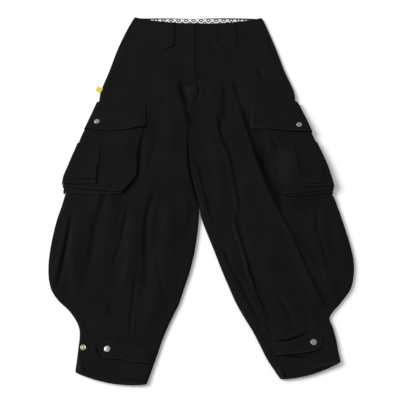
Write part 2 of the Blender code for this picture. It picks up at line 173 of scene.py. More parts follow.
@dataclass(frozen=True)
class Crease:
    """A long uneven crease: a trough beside or between swellings, or a ridge where depth is below 0. Its tone
    paints shade into the cloth along it, and a highlight where the tone is below 0.
    """

    path: Path
    depth: float
    width: float
    lip: float = 0.0
    reach: float = 14.0
    side: Lip = Lip.BOTH
    # Painted shade along the crease; a tone below 0 paints a highlight
    tone: float = 0.0

    def fit(self, x: Array, y: Array) -> tuple[Array, Array, Array]:
        """Measure the places against the crease.

        Args:
            x: Places across, in millimetres.
            y: Places along the leg, in millimetres.

        Returns:
            The signed distance from its line, its width and its strength beside each place.
        """
        away, run, total = distance_to(self.path, x, y)
        ends = ease(run / min(70.0, total * 0.45)) * ease((total - run) / min(80.0, total * 0.5))
        seed = self.path[0][0] * 0.37
        uneven = 1 + 0.25 * np.sin(run / 31.0 + seed) * np.cos(run / 67.0 - seed)
        width = self.width * (1 + 0.2 * np.sin(run / 43.0 + 1.7 * seed))
        if self.side is not Lip.BOTH:
            width = width * np.where(away * self.side.value > 0, 0.6, 1.6)
        return away, width, ends * uneven

    def height(self, x: Array, y: Array) -> Array:
        """What the crease adds to the height of the cloth."""
        away, width, strength = self.fit(x, y)
        from_line = np.abs(away) if self.side is Lip.BOTH else np.maximum(away * self.side.value, 0)
        sharp = 1.4 if self.depth > 0 else 2.0
        trough = -self.depth * np.exp(-(np.abs(away) / width) ** sharp)
        swell = 1 - bell(from_line, width)
        swell = swell * bell(np.maximum(from_line - width, 0), self.reach)
        return strength * (trough + self.lip * swell)

    def shade(self, x: Array, y: Array) -> Array:
        """Painted shade along the crease, strongest in its trough; a tone below 0 paints a highlight."""
        away, width, strength = self.fit(x, y)
        return self.tone * strength * bell(away, 1.2 * width)


def ridge(path: Path, height: float, width: float, tone: float = 0.0) -> Crease:
    """A soft ridge along a path, with painted shade along it where tone is above 0 and a painted highlight
    where tone is below 0.
    """
    return Crease(path, -height, width, tone=tone)


POCKET_MOUTHS = {
    Side.RIGHT: Crease(((-202, 462), (-213, 410), (-227, 364), (-239, 322), (-248, 290)),
                       1.3, 2.4, 1.0, 10, Lip.EAST),
    Side.LEFT: Crease(((174, 460), (185, 413), (197, 356), (212, 323), (223, 282), (234, 250), (240, 222)),
                      1.5, 2.6, 1.2, 12, Lip.WEST),
}
# Creases of each front. A tone paints shade along a crease and a tone below 0 paints a highlight; creases of
# depth 0 are painted shade alone.
CREASES: dict[Side, tuple[Crease, ...]] = {
    Side.RIGHT: (
        Crease(((-314, -88), (-316, -138), (-319, -168), (-322, -204), (-327, -243), (-332, -277),
                (-338, -306)), 3.0, 6, 1.6, 12, tone=0.55),
        Crease(((-232, 0), (-240, -58), (-245, -85), (-253, -111), (-258, -143), (-260, -183),
                (-262, -218), (-263, -262)), 2.3, 9, 1.0, 16, tone=0.4),
        Crease(((-176, -62), (-182, -101), (-187, -138), (-190, -168), (-198, -198), (-206, -233),
                (-211, -266)), 1.5, 4.5, 0.7, 12, tone=0.25),
        Crease(((-116, -20), (-125, -69), (-133, -111), (-134, -153), (-133, -194), (-132, -233),
                (-132, -277), (-134, -316)), 2.7, 8.5, 1.1, 16, tone=0.4),
        Crease(((-147, -222), (-151, -258), (-154, -286), (-157, -320), (-159, -356), (-158, -392),
                (-156, -432)), 1.2, 4.5, 0.6, 9, tone=0.15),
        Crease(((-144, -334), (-145, -366), (-147, -400), (-149, -436)), 0.6, 3.2, 0.5, 6),
        # Painted shade around the strap's pointed end
        Crease(((-220, -410), (-230, -420), (-227, -434), (-214, -451)), 0.6, 2.4, tone=1.2),
        Crease(((-106, -206), (-100, -243), (-93, -277), (-83, -320), (-79, -346)), 1.2, 5, 0.7, 12),
        Crease(((-118, 180), (-116, 153), (-118, 119), (-122, 90), (-127, 57), (-133, 20), (-137, -14)),
               1.6, 11, tone=0.3),
        Crease(((-110, 256), (-99, 219), (-101, 184)), 1.2, 10),
        Crease(((-57, 320), (-54, 293), (-52, 270), (-48, 243), (-41, 216), (-37, 190), (-34, 164),
                (-33, 142), (-35, 118)), 4.2, 10, 0.8, 12, tone=1.0),
        Crease(((-14, 270), (-7, 259), (-2, 246)), 3.4, 3, tone=1.2),
        # Painted shade alone: the dark line of the gap between the fronts
        Crease(((-8, 246), (-20, 206), (-31, 162), (-36, 112), (-35, 62), (-31, 14), (-22, -28), (-10, -66),
                (-8, -104)), 0.0, 3, tone=0.9),
        Crease(((-34, -30), (-28, -76), (-28, -98), (-33, -136), (-40, -180)), 0.8, 9, tone=0.35),
        # Painted shade beside the pocket's inner edge and under its gusset
        Crease(((-150, 130), (-152, 100), (-154, 76), (-156, 47), (-157, 23), (-161, 3), (-172, -14),
                (-188, -42), (-205, -52), (-230, -55)), 0.8, 3.2, tone=0.9),
        POCKET_MOUTHS[Side.RIGHT],
        # Troughs near the hem, darkened with painted shade
        Crease(((-165, -491), (-142, -495), (-118, -498)), 2.6, 2.6, 0.8, 5, tone=0.7),
        Crease(((-266, -452), (-256, -466), (-244, -484)), 2.0, 2.6, 1.0, 5, tone=0.5),
        # Painted highlight along the fold at the hem's corner
        ridge(((-272, -446), (-266, -464), (-260, -482)), 0.8, 5, -1.3),
        ridge(((-46, 392), (-34, 362), (-21, 334)), 1.2, 4),
        # A soft bump with a faint painted highlight
        ridge(((-28, 282), (-27, 250), (-29, 218)), 3.2, 11, -0.5),
        ridge(((-74, 190), (-82, 90), (-88, -20)), 2.4, 20),
        ridge(((-290, -80), (-299, -170), (-300, -240), (-276, -320)), 2.6, 15),
        ridge(((-211, -50), (-226, -165), (-234, -240), (-236, -320)), 3.0, 17),
        ridge(((-158, -80), (-165, -140), (-171, -220), (-184, -330)), 3.0, 16),
        ridge(((-84, -60), (-84, -150), (-88, -230), (-112, -340), (-128, -400)), 3.2, 19),
        ridge(((-200, -352), (-205, -390)), 1.8, 16),
        ridge(((-238, -350), (-240, -400)), 1.6, 12),
        Crease(((-206, -300), (-204, -340), (-200, -378)), 1.2, 11, 0.6, 12),
    ),
    Side.LEFT: (
        Crease(((80, 320), (86, 288), (93, 252), (98, 230), (106, 199), (112, 168), (121, 132), (130, 98),
                (139, 65), (149, 32), (158, 0), (168, -34), (180, -64), (193, -96), (208, -132),
                (222, -163), (234, -198), (246, -233), (258, -267), (269, -296), (280, -326),
                (292, -356)), 1.9, 7.5, 2.4, 24, Lip.WEST, 0.12),
        # Painted shade filling the valley beside the pocket
        Crease(((107, 220), (114, 180), (124, 141), (135, 105), (146, 68), (158, 30), (168, -4),
                (179, -38), (194, -78), (214, -120)), 0.4, 11, tone=1.0),
        # Painted shadow under the pocket's lower edge and painted shade in the valley below it
        Crease(((196, -72), (232, -64), (276, -57), (330, -52)), 0.0, 6.5, tone=0.6),
        Crease(((205, -90), (232, -150), (256, -212), (280, -280)), 0.5, 13, tone=0.35),
        Crease(((36, 215), (42, 186), (45, 155), (48, 130), (57, 96), (71, 63), (77, 34), (82, 2),
                (85, -29), (89, -60), (92, -90), (88, -118)), 2.2, 5.6, 1.4, 12, Lip.WEST, 0.4),
        Crease(((60, 300), (59, 262), (60, 226), (58, 190), (53, 158), (47, 124)), 2.2, 9, 0.8, 10, tone=0.5),
        ridge(((69, 270), (74, 240), (77, 205), (78, 170), (84, 130)), 1.4, 9),
        Crease(((84, -84), (86, -132), (96, -173), (108, -218), (117, -258), (128, -296), (138, -324),
                (150, -357), (164, -402)), 2.0, 4.2, 0.8, 12, Lip.WEST, 0.4),
        # A ridge with a faint painted highlight
        ridge(((80, -90), (77, -112), (80, -138), (87, -168), (97, -198), (103, -228), (109, -258),
               (118, -286), (128, -320)), 2.0, 3.2, -0.25),
        Crease(((38, -166), (53, -198), (65, -228), (78, -258), (93, -286), (108, -320), (126, -356),
                (141, -394)), 1.8, 4.5, 1.0, 9, tone=0.25),
        Crease(((-24, 70), (-16, 42), (-7, 18), (-1, -6), (3, -29), (13, -64), (21, -102), (31, -128),
                (40, -152)), 1.5, 4, 0.8, 8, Lip.WEST, 0.3),
        # Painted shade alone: the dark line of the gap between the fronts
        Crease(((-2, 246), (-14, 206), (-25, 162), (-29, 112), (-28, 62), (-23, 14), (-13, -32),
                (2, -78)), 0.0, 3, tone=1.0),
        Crease(((291, -50), (284, -74), (277, -111), (276, -143), (284, -178), (290, -214), (297, -253),
                (306, -292)), 1.4, 6, 0.6, 14, tone=0.2),
        Crease(((167, -294), (186, -330), (200, -361), (214, -394)), 2.0, 8, 1.2, 14),
        Crease(((31, 290), (40, 250), (47, 206)), 1.4, 7, 0.8, 10),
        Crease(((145, 342), (157, 307), (170, 270)), 1.4, 9, 0.8, 12),
        POCKET_MOUTHS[Side.LEFT],
        # Troughs above and below the strap, darkened with painted shade
        Crease(((156, -409), (187, -408), (214, -400), (238, -390), (252, -384)), 3.0, 4, 1.2, 10, tone=0.8),
        Crease(((176, -441), (212, -443), (250, -446)), 3.2, 3.4, 0.8, 5, tone=0.8),
        Crease(((226, -482), (252, -473), (280, -466), (306, -458)), 1.6, 2.6, tone=0.5),
        # Painted highlight along the hem's fold
        ridge(((232, -472), (256, -464), (280, -459), (308, -451)), 1.2, 2.2, -0.9),
        Crease(((176, -462), (180, -478), (188, -496)), 3.0, 3.2, 1.2, 6, tone=0.8),
        # Painted highlight along the cuff's fold
        ridge(((160, -464), (172, -478), (180, -494)), 0.8, 5, -0.9),
        Crease(((46, 492), (47, 450), (48, 398)), 1.6, 2.6, tone=0.6),
        ridge(((20, 190), (32, 90), (44, -10), (46, -110)), 2.6, 16),
        ridge(((106, -60), (128, -150), (150, -230), (190, -320)), 3.0, 24),
        ridge(((228, -60), (250, -120), (264, -170), (282, -230)), 1.8, 14),
        ridge(((318, -100), (330, -180), (330, -250)), 3.0, 14),
        ridge(((170, -380), (190, -400)), 1.4, 14),
        Crease(((232, -330), (238, -362), (244, -394)), 1.2, 8, 0.8, 10),
        Crease(((140, -352), (150, -380), (160, -408)), 1.4, 4.5, 0.9, 8),
    ),
}


def ease(value: Array | float) -> Array:
    """Smooth step from 0 to 1."""
    value = np.clip(value, 0.0, 1.0)
    return value * value * (3 - 2 * value)


def bell(distance: Array, width: float) -> Array:
    """1 at no distance, fading to 0 on both sides."""
    return np.exp(-(distance / width) ** 2)


def curve_through(values: Array, places: Array, corner: int | None = None) -> Array:
    """Follow a smooth curve through rows of values.

    Args:
        values: One row for each point of the curve.
        places: Where to read the curve, counted in rows.
        corner: A row at which the curve keeps a sharp corner.

    Returns:
        One row of values for each place.
    """
    index = np.minimum(places.astype(int), len(values) - 2)
    part = (places - index)[:, None]
    slopes, steps = np.gradient(values, axis=0), np.diff(values, axis=0)
    start, end = slopes[index], slopes[index + 1]
    if corner is not None:
        start = np.where((index == corner)[:, None], steps[index], start)
        end = np.where((index + 1 == corner)[:, None], steps[index], end)
    cubed, squared = part ** 3, part ** 2
    return ((2 * cubed - 3 * squared + 1) * values[index] + (cubed - 2 * squared + part) * start
            + (3 * squared - 2 * cubed) * values[index + 1] + (cubed - squared) * end)


def distance_to(path: Path, x: Array, y: Array) -> tuple[Array, Array, float]:
    """Measure from places to a smooth curve through a path.

    Args:
        path: Points of the curve.
        x: Places across.
        y: Places along.

    Returns:
        The distance, above 0 to the left of the path's direction, the length of path before the
        nearest point, and the whole length.
    """
    points = np.array(path, float)
    if len(points) > 2:
        points = curve_through(points, np.linspace(0, len(points) - 1, 4 * len(points)))
    best = np.full(x.shape, np.inf)
    signed, along = np.zeros(x.shape), np.zeros(x.shape)
    steps = np.linalg.norm(np.diff(points, axis=0), axis=1)
    total, run = float(steps.sum()), 0.0
    for (ax, ay), (bx, by), step in zip(points, points[1:], steps):
        share = ((x - ax) * (bx - ax) + (y - ay) * (by - ay)) / step ** 2
        share = np.clip(share, 0, 1)
        away = np.hypot(x - ax - share * (bx - ax), y - ay - share * (by - ay))
        cross = (bx - ax) * (y - ay) - (by - ay) * (x - ax)
        nearer = away < best
        best = np.where(nearer, away, best)
        signed = np.where(nearer, np.copysign(away, cross), signed)
        along = np.where(nearer, run + share * step, along)
        run += step
    return signed, along, total


def edge_stops(width: float, middle: int, near: tuple[float, ...]) -> Array:
    """Places across a width, close together at both of its ends."""
    close = np.array(near) * min(1.0, width / (2.6 * near[-1]))
    between = np.linspace(close[-1], width - close[-1], middle + 2)[1:-1]
    return np.concatenate([close, between, (width - close)[::-1]])


def section_width(section: Array) -> float:
    """Distance between the two ends of a section."""
    return math.hypot(section[2] - section[0], section[3] - section[1])


def bowed(section: Array, share: Array) -> tuple[Array, Array]:
    """Places across and along at shares of the way through a section, or through one section each."""
    start_x, start_y, end_x, end_y, bow = section
    return (start_x + (end_x - start_x) * share,
            start_y + (end_y - start_y) * share + bow * 4 * share * (1 - share))


def spread_over(sections: Array, columns: int, near: tuple[float, ...],
                outer_cut: float = 0.0) -> list[Array]:
    """Spread points over rows of sections, close together at both ends.

    Args:
        sections: One section for each row.
        columns: How many points lie between those near the ends.
        near: Distances from an end at which points lie.
        outer_cut: How much is left off at the far end.

    Returns:
        Places across, places along, and the distances from the near and the far end.
    """
    rows = []
    for section in sections:
        width = section_width(section)
        places = edge_stops(max(width - outer_cut, 0.5), columns, near)
        rows.append((*bowed(section, places / width), places, width - places))
    return [np.array(values) for values in zip(*rows)]


def wrinkles(x: Array, y: Array, size: float, seed: float, stretch: float = 1.0) -> Array:
    """Soft uneven noise, the same on each run."""
    flat = [noise.noise(Vector((px / size, py / (size * stretch), seed)))
            for px, py in zip(x.ravel(), y.ravel())]
    return np.array(flat).reshape(x.shape)


class NodeDesk:
    """Short ways to lay out the nodes of one material."""

    def __init__(self, name: str) -> None:
        """Start a material with an output and a principled shader."""
        self.material = bpy.data.materials.new(name)
        self.material.use_nodes = True
        self.tree = self.material.node_tree
        self.shader = self.tree.nodes["Principled BSDF"]
        self.place = self.add("TexCoord").outputs["Object"]

    def add(self, kind: str, **settings: str) -> bpy.types.Node:
        """Add a node of a kind with its settings."""
        node = self.tree.nodes.new("ShaderNode" + kind)
        for key, value in settings.items():
            setattr(node, key, value)
        return node

    def feed(self, node: bpy.types.Node, inputs: dict[str | int, Value]) -> None:
        """Link sockets to a node's inputs, or set inputs to plain values."""
        for key, value in inputs.items():
            if isinstance(value, Socket):
                self.tree.links.new(value, node.inputs[key])
            else:
                node.inputs[key].default_value = value

    def surface(self, roughness: float, specular: float, metallic: float = 0.0) -> None:
        """Set the plain values of the shader."""
        self.feed(self.shader, {"Roughness": roughness, "Specular IOR Level": specular, "Metallic": metallic})

    def paint(self, colour: Socket) -> None:
        """Give the shader its colour."""
        self.feed(self.shader, {"Base Color": colour})

    def math(self, operation: str, *values: Value) -> Socket:
        """Work on sockets or numbers with one of Blender's operations."""
        node = self.add("Math", operation=operation)
        self.feed(node, dict(enumerate(values)))
        return node.outputs[0]

    def scaled(self, colour: Colour, factor: Socket) -> Socket:
        """A colour times a factor."""
        node = self.add("VectorMath", operation="SCALE")
        self.feed(node, {0: colour, "Scale": factor})
        return node.outputs["Vector"]

    def mix(self, factor: Socket, first: Value, second: Value) -> Socket:
        """Mix two colours by the share of the second one."""
        node = self.add("Mix", data_type="RGBA")
        first, second = ((*value, 1.0) if isinstance(value, tuple) else value for value in (first, second))
        self.feed(node, {"Factor": factor, 6: first, 7: second})
        return node.outputs[2]

    def wear(self) -> Socket:
        """How worn the cloth is and how much painted highlight and shade it carries, as its mesh says."""
        return self.add("Attribute", attribute_name=WEAR_AND_PAINTED_LIGHT).outputs["Fac"]

    def noise(self, scale: float, detail: float) -> Socket:
        """Noise of a scale in features per metre."""
        node = self.add("TexNoise")
        self.feed(node, {"Scale": scale, "Detail": detail, "Vector": self.place})
        return node.outputs["Fac"]

    def turned(self, degrees: float, scale: float) -> Socket:
        """The places turned about the upright axis and scaled."""
        node = self.add("Mapping")
        turn = (0, 0, math.radians(degrees))
        self.feed(node, {"Rotation": turn, "Scale": (scale, scale, scale), "Vector": self.place})
        return node.outputs["Vector"]

    def stripes(self, pitch: float, degrees: float) -> Socket:
        """Soft parallel stripes of a pitch in metres, turned about the upright axis."""
        node = self.add("TexWave")
        turned = self.turned(degrees, WAVE_LENGTH / pitch)
        self.feed(node, {"Scale": 1.0, "Distortion": 0.6, "Detail": 1.0, "Vector": turned})
        return node.outputs["Fac"]

    def plain_weave(self, pitch: float, degrees: float) -> Socket:
        """Threads that cross at a right angle."""
        return self.math("ADD", self.stripes(pitch, degrees), self.stripes(pitch, degrees + 90.0))

    def ramp(self, value: Socket, stops: Path) -> Socket:
        """Map a value through grey stops of place and brightness."""
        node = self.add("ValToRGB")
        for (place, grey), element in zip(stops, node.color_ramp.elements):
            element.position = place
            element.color = (grey, grey, grey, 1)
        self.feed(node, {0: value})
        return node.outputs[0]

    def bump(self, height: Socket, depth: float, strength: float) -> None:
        """Give the shader a bump of a depth in metres."""
        node = self.add("Bump")
        self.feed(node, {"Distance": depth, "Strength": strength, "Height": height})
        self.feed(self.shader, {"Normal": node.outputs["Normal"]})


@dataclass(frozen=True)
class Finish:
    """The look of a material. Each finish lays out its own nodes."""

    def build(self, name: str) -> Material:
        """Make the material under a name."""
        nodes = NodeDesk(name)
        self.lay_nodes(nodes)
        return nodes.material

    def lay_nodes(self, nodes: NodeDesk) -> None:
        """Set the shader and lay out the nodes before it."""
        raise NotImplementedError


@dataclass(frozen=True)
class TwillFinish(Finish):
    """Heavy matt black cotton twill: a fine diagonal weave, unevenly dyed, with slightly worn edges and the
    painted highlights and painted shade that its mesh carries.
    """

    colour: Colour = (0.0048, 0.0046, 0.0052)
    roughness: float = 0.9
    specular: float = 0.06
    weave_pitch: float = 0.0011
    weave_depth: float = 0.00022
    # How strongly the mesh's wear, painted highlights and painted shade change the cloth's brightness
    wear: float = 0.55
    least_tone: float = 0.4
    mottles: Rows = ((14.0, 4.0, 0.8), (75.0, 2.0, 0.34), (320.0, 2.0, 0.22), (1400.0, 1.0, 0.12))

    def lay_nodes(self, nodes: NodeDesk) -> None:
        """Lay out the uneven colour, the worn edges, the painted highlights and shade, and the weave."""
        nodes.surface(self.roughness, self.specular)
        tone, mottle = self.least_tone, {}
        for scale, detail, share in self.mottles:
            mottle[scale] = nodes.noise(scale, detail)
            tone = nodes.math("MULTIPLY_ADD", mottle[scale], share, tone)
        # The mesh's wear, painted highlights and painted shade, added to the mottled colour
        worn_and_painted_light = nodes.math("MULTIPLY_ADD", nodes.wear(), self.wear, tone)
        nodes.paint(nodes.scaled(self.colour, worn_and_painted_light))
        weave = nodes.stripes(self.weave_pitch, 58.0)
        weft = nodes.stripes(self.weave_pitch * 0.62, -28.0)
        height = nodes.math("MULTIPLY_ADD", weft, 0.35, weave)
        height = nodes.math("MULTIPLY_ADD", mottle[320.0], 0.9, height)
        nodes.bump(height, self.weave_depth, 0.55)


@dataclass(frozen=True)
class FacingFinish(Finish):
    """White cotton facing with plain dark diamonds, each open in its middle."""

    ground: Colour = (0.82, 0.79, 0.82)
    ink: Colour = (0.01, 0.01, 0.012)
    diamond: float = 0.021
    inner: float = 0.14
    outer: float = 0.39
    thread: float = 0.0006

    def lay_nodes(self, nodes: NodeDesk) -> None:
        """Lay out the diamonds and the weave."""
        nodes.surface(0.85, 0.15)
        axes = nodes.add("SeparateXYZ")
        nodes.feed(axes, {0: nodes.turned(45.0, DIAGONAL / self.diamond)})
        from_middle = []
        for axis in ("X", "Y"):
            offset = nodes.math("SUBTRACT", nodes.math("FRACT", axes.outputs[axis]), 0.5)
            from_middle.append(nodes.math("ABSOLUTE", offset))
        furthest = nodes.math("MAXIMUM", *from_middle)
        past_inner = nodes.math("GREATER_THAN", furthest, self.inner)
        within_outer = nodes.math("LESS_THAN", furthest, self.outer)
        inked = nodes.math("MULTIPLY", past_inner, within_outer)
        mottle = nodes.math("MULTIPLY_ADD", nodes.noise(260.0, 3.0), 0.3, 0.76)
        nodes.paint(nodes.mix(nodes.math("MULTIPLY", inked, mottle), self.ground, self.ink))
        nodes.bump(nodes.plain_weave(self.thread, 0.0), 0.00012, 0.4)


@dataclass(frozen=True)
class TapeFinish(Finish):
    """Woven label tape in one colour with dark edges."""

    colour: Colour = (0.62, 0.5, 0.04)
    edge: Colour = (0.02, 0.02, 0.015)
    thread: float = 0.0005

    def lay_nodes(self, nodes: NodeDesk) -> None:
        """Lay out the tape's colour, its edges and the weave."""
        nodes.surface(0.7, 0.25)
        # Here the mesh value marks the tape's dark edges
        border = nodes.math("GREATER_THAN", nodes.wear(), 0.5)
        mottle = nodes.math("MULTIPLY_ADD", nodes.noise(900.0, 1.0), 0.4, 0.8)
        nodes.paint(nodes.mix(border, nodes.scaled(self.colour, mottle), self.edge))
        nodes.bump(nodes.plain_weave(self.thread, 35.0), 0.00012, 0.5)


@dataclass(frozen=True)
class MetalFinish(Finish):
    """Nickel or brass of a snap, brushed by use and slightly tarnished."""

    colour: Colour
    tarnish: Colour
    roughness: float = 0.34

    def lay_nodes(self, nodes: NodeDesk) -> None:
        """Lay out the tarnish and the fine scratches."""
        nodes.surface(self.roughness, 0.5, 1.0)
        spots = nodes.noise(650.0, 4.0)
        share = nodes.ramp(spots, ((0.42, 0.0), (0.7, 0.75)))
        nodes.paint(nodes.mix(share, self.colour, self.tarnish))
        rough = nodes.math("MULTIPLY_ADD", spots, 0.3, self.roughness - 0.1)
        nodes.feed(nodes.shader, {"Roughness": rough})
        nodes.bump(nodes.noise(2600.0, 2.0), 0.00005, 0.4)


@dataclass(frozen=True)
class ThreadFinish(Finish):
    """Twisted black sewing thread, a little paler and smoother than the cloth."""

    colour: Colour = (0.0054, 0.0052, 0.0058)
    twist: float = 0.0007

    def lay_nodes(self, nodes: NodeDesk) -> None:
        """Lay out the thread's tone and its twist."""
        nodes.surface(0.8, 0.1)
        tone = nodes.math("MULTIPLY_ADD", nodes.noise(700.0, 2.0), 0.7, 0.65)
        nodes.paint(nodes.scaled(self.colour, tone))
        nodes.bump(nodes.stripes(self.twist, 50.0), 0.0001, 0.5)


@dataclass(frozen=True)
class FloorFinish(Finish):
    """Plain pale studio floor."""

    colour: Colour = (0.93, 0.93, 0.93)
    shade: float = 0.98

    def lay_nodes(self, nodes: NodeDesk) -> None:
        """Lay out a soft unevenness of the floor."""
        nodes.surface(0.95, 0.0)
        darker = tuple(self.shade * value for value in self.colour)
        nodes.paint(nodes.mix(nodes.noise(3.0, 2.0), self.colour, darker))


def mesh_piece(name: str, vertices: Array, faces: list, material: Material,
               wear: Array | None = None) -> Piece:
    """Make an object from points and faces."""
    mesh = bpy.data.meshes.new(name)
    mesh.from_pydata((np.asarray(vertices) * MM).tolist(), [], faces)
    mesh.shade_smooth()
    if wear is not None:
        layer = mesh.attributes.new(WEAR_AND_PAINTED_LIGHT, "FLOAT", "POINT")
        layer.data.foreach_set("value", np.asarray(wear, np.float32))
    mesh.materials.append(material)
    piece = bpy.data.objects.new(name, mesh)
    bpy.context.scene.collection.objects.link(piece)
    return piece


def cloth_wall(name: str, low: Array, wall: Array, material: Material, wear: Array,
               rim_wear: float = 0.8) -> Piece:
    """Make a closed wall of cloth with rounded edges over its lower face.

    Args:
        name: Name of the piece.
        low: Lower face, as rows by columns by x, y and z.
        wall: Thickness at each point.
        material: Its finish.
        wear: How worn the upper face is at each point, with its painted highlights and painted shade.
        rim_wear: How worn the edges are, with a painted highlight on them; below 0 it paints shade.

    Returns:
        The object.
    """
    rows, columns = wall.shape
    normals = np.cross(np.gradient(low, axis=1), np.gradient(low, axis=0))
    normals /= np.linalg.norm(normals, axis=2, keepdims=True) + TINY
    flipped = normals[:, :max(columns // 4, 2), 2].mean() < 0
    if flipped:
        normals = -normals
    high = low + normals * wall[..., None]
    index = np.arange(rows * columns).reshape(rows, columns)
    around = np.concatenate([index[0, :-1], index[:-1, -1], index[-1, :0:-1], index[:0:-1, 0]])
    r, c = np.divmod(around, columns)
    inner = low[np.clip(r, 1, rows - 2), np.clip(c, 1, columns - 2)]
    outward = low[r, c] - inner
    outward /= np.linalg.norm(outward, axis=1, keepdims=True) + TINY
    middle = (low[r, c] + high[r, c]) / 2 + outward * wall[r, c, None] * RIM_BULGE
    quads = np.stack([index[:-1, :-1], index[:-1, 1:], index[1:, 1:], index[1:, :-1]], -1).reshape(-1, 4)
    above, below = quads + rows * columns, quads[:, ::-1]
    ring = 2 * rows * columns + np.arange(len(around))
    after, ring_after = np.roll(around, -1), np.roll(ring, -1)
    upper_rim = np.stack([around + rows * columns, ring, ring_after, after + rows * columns], -1)
    lower_rim = np.stack([ring, around, after, ring_after], -1)
    faces = np.concatenate([above, below, upper_rim, lower_rim])
    if flipped:
        faces = faces[:, ::-1]
    vertices = np.concatenate([low.reshape(-1, 3), high.reshape(-1, 3), middle])
    # Wear and painted highlight and shade: none on the lower face, the upper face's own, and the rim's
    worn_and_painted_light = np.concatenate([np.zeros(rows * columns), wear.ravel(), np.full(len(around), rim_wear)])
    return mesh_piece(name, vertices, faces.tolist(), material, worn_and_painted_light)


def hemmed(thickness: float, distance: Array, doubled: float = 0.45, groove: float = 0.35) -> Array:
    """Thickness of a piece whose edge is turned under and sewn twice."""
    wall = thickness + doubled * (1 - ease((distance - STITCH_ROWS[1] - 1.0) / 2.0))
    for row in STITCH_ROWS:
        wall = wall - groove * bell(distance - row, 0.9)
    return wall


def drop(tree: BVHTree, x: float, y: float) -> tuple[Vector | None, Vector | None]:
    """Where a ray straight down meets a piece, and the piece's direction there. All in metres."""
    return tree.ray_cast(Vector((x, y, RAY_START)), DOWN)[:2]


class Ground:
    """The cloth that has been laid so far, as a map of heights seen from above."""

    STEP = 2.0
    HALF_WIDTH = 372.0
    HALF_LENGTH = 516.0
    EMPTY = -1e6

    def __init__(self) -> None:
        """Start with an empty surface."""
        self.columns = int(2 * self.HALF_WIDTH / self.STEP) + 1
        self.rows = int(2 * self.HALF_LENGTH / self.STEP) + 1
        self.heights = np.full((self.rows, self.columns), self.EMPTY)

    def add(self, piece: Piece) -> BVHTree:
        """Lay a piece on the map.

        Args:
            piece: A piece in its place.

        Returns:
            The piece's tree, for stitches that lie on it.
        """
        points = [vertex.co.copy() for vertex in piece.data.vertices]
        tree = BVHTree.FromPolygons(points, [polygon.vertices[:] for polygon in piece.data.polygons])
        cells = []
        for axis, half, count in ((0, self.HALF_WIDTH, self.columns), (1, self.HALF_LENGTH, self.rows)):
            low, high = np.min(points, axis=0)[axis] / MM, np.max(points, axis=0)[axis] / MM
            first = max(int((low + half) / self.STEP), 0)
            last = min(int((high + half) / self.STEP) + 1, count - 1)
            cells.append([(cell, (cell * self.STEP - half) * MM) for cell in range(first, last + 1)])
        for r, y in cells[1]:
            for c, x in cells[0]:
                hit = drop(tree, x, y)[0]
                if hit:
                    self.heights[r, c] = max(self.heights[r, c], hit.z / MM)
        return tree

    def over(self, x: Array, y: Array, reach: float) -> Array:
        """Height that a piece rests at, with the highest cloth within a reach under it.

        Args:
            x: Places across.
            y: Places along.
            reach: How far the piece bridges what is under it.

        Returns:
            The heights, or NaN where there is no cloth.
        """
        cells = max(int(round(reach / self.STEP)), 0)
        padded = np.pad(self.heights, cells, constant_values=self.EMPTY)
        spread = np.full_like(self.heights, self.EMPTY)
        for dr in range(2 * cells + 1):
            for dc in range(2 * cells + 1):
                window = padded[dr:dr + self.rows, dc:dc + self.columns]
                spread = np.maximum(spread, window)
        there = spread > self.EMPTY / 2
        value, weight = np.where(there, spread, 0.0), there.astype(float)
        for _ in range(max(cells, 1)):
            value, weight = blurred(value), blurred(weight)
        fc = np.clip((x + self.HALF_WIDTH) / self.STEP, 0, self.columns - 1.001)
        fr = np.clip((y + self.HALF_LENGTH) / self.STEP, 0, self.rows - 1.001)
        c, r = fc.astype(int), fr.astype(int)
        u, v = fc - c, fr - r

        def read(layer: Array) -> Array:
            """Read a map between its cells."""
            return ((1 - u) * (1 - v) * layer[r, c] + u * (1 - v) * layer[r, c + 1]
                    + (1 - u) * v * layer[r + 1, c] + u * v * layer[r + 1, c + 1])

        share = read(weight)
        return np.where(share > 0.02, read(value) / np.maximum(share, 1e-6), np.nan)


def blurred(layer: Array) -> Array:
    """Blur a map by one cell each way."""
    padded = np.pad(layer, 1, mode="edge")
    rows = (padded[:-2] + 2 * padded[1:-1] + padded[2:]) / 4
    return (rows[:, :-2] + 2 * rows[:, 1:-1] + rows[:, 2:]) / 4


@dataclass(frozen=True)
class Cut:
    """The flat size a piece was cut to, in metres, and its area where it isn't a rectangle."""

    width: float
    length: float
    area: float | None = None


def finish_piece(piece: Piece, node: str) -> None:
    """Tie a piece to the model."""
    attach(piece, "root")
    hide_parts(node)
    log.info("%s: %d faces", piece.name, len(piece.data.polygons))


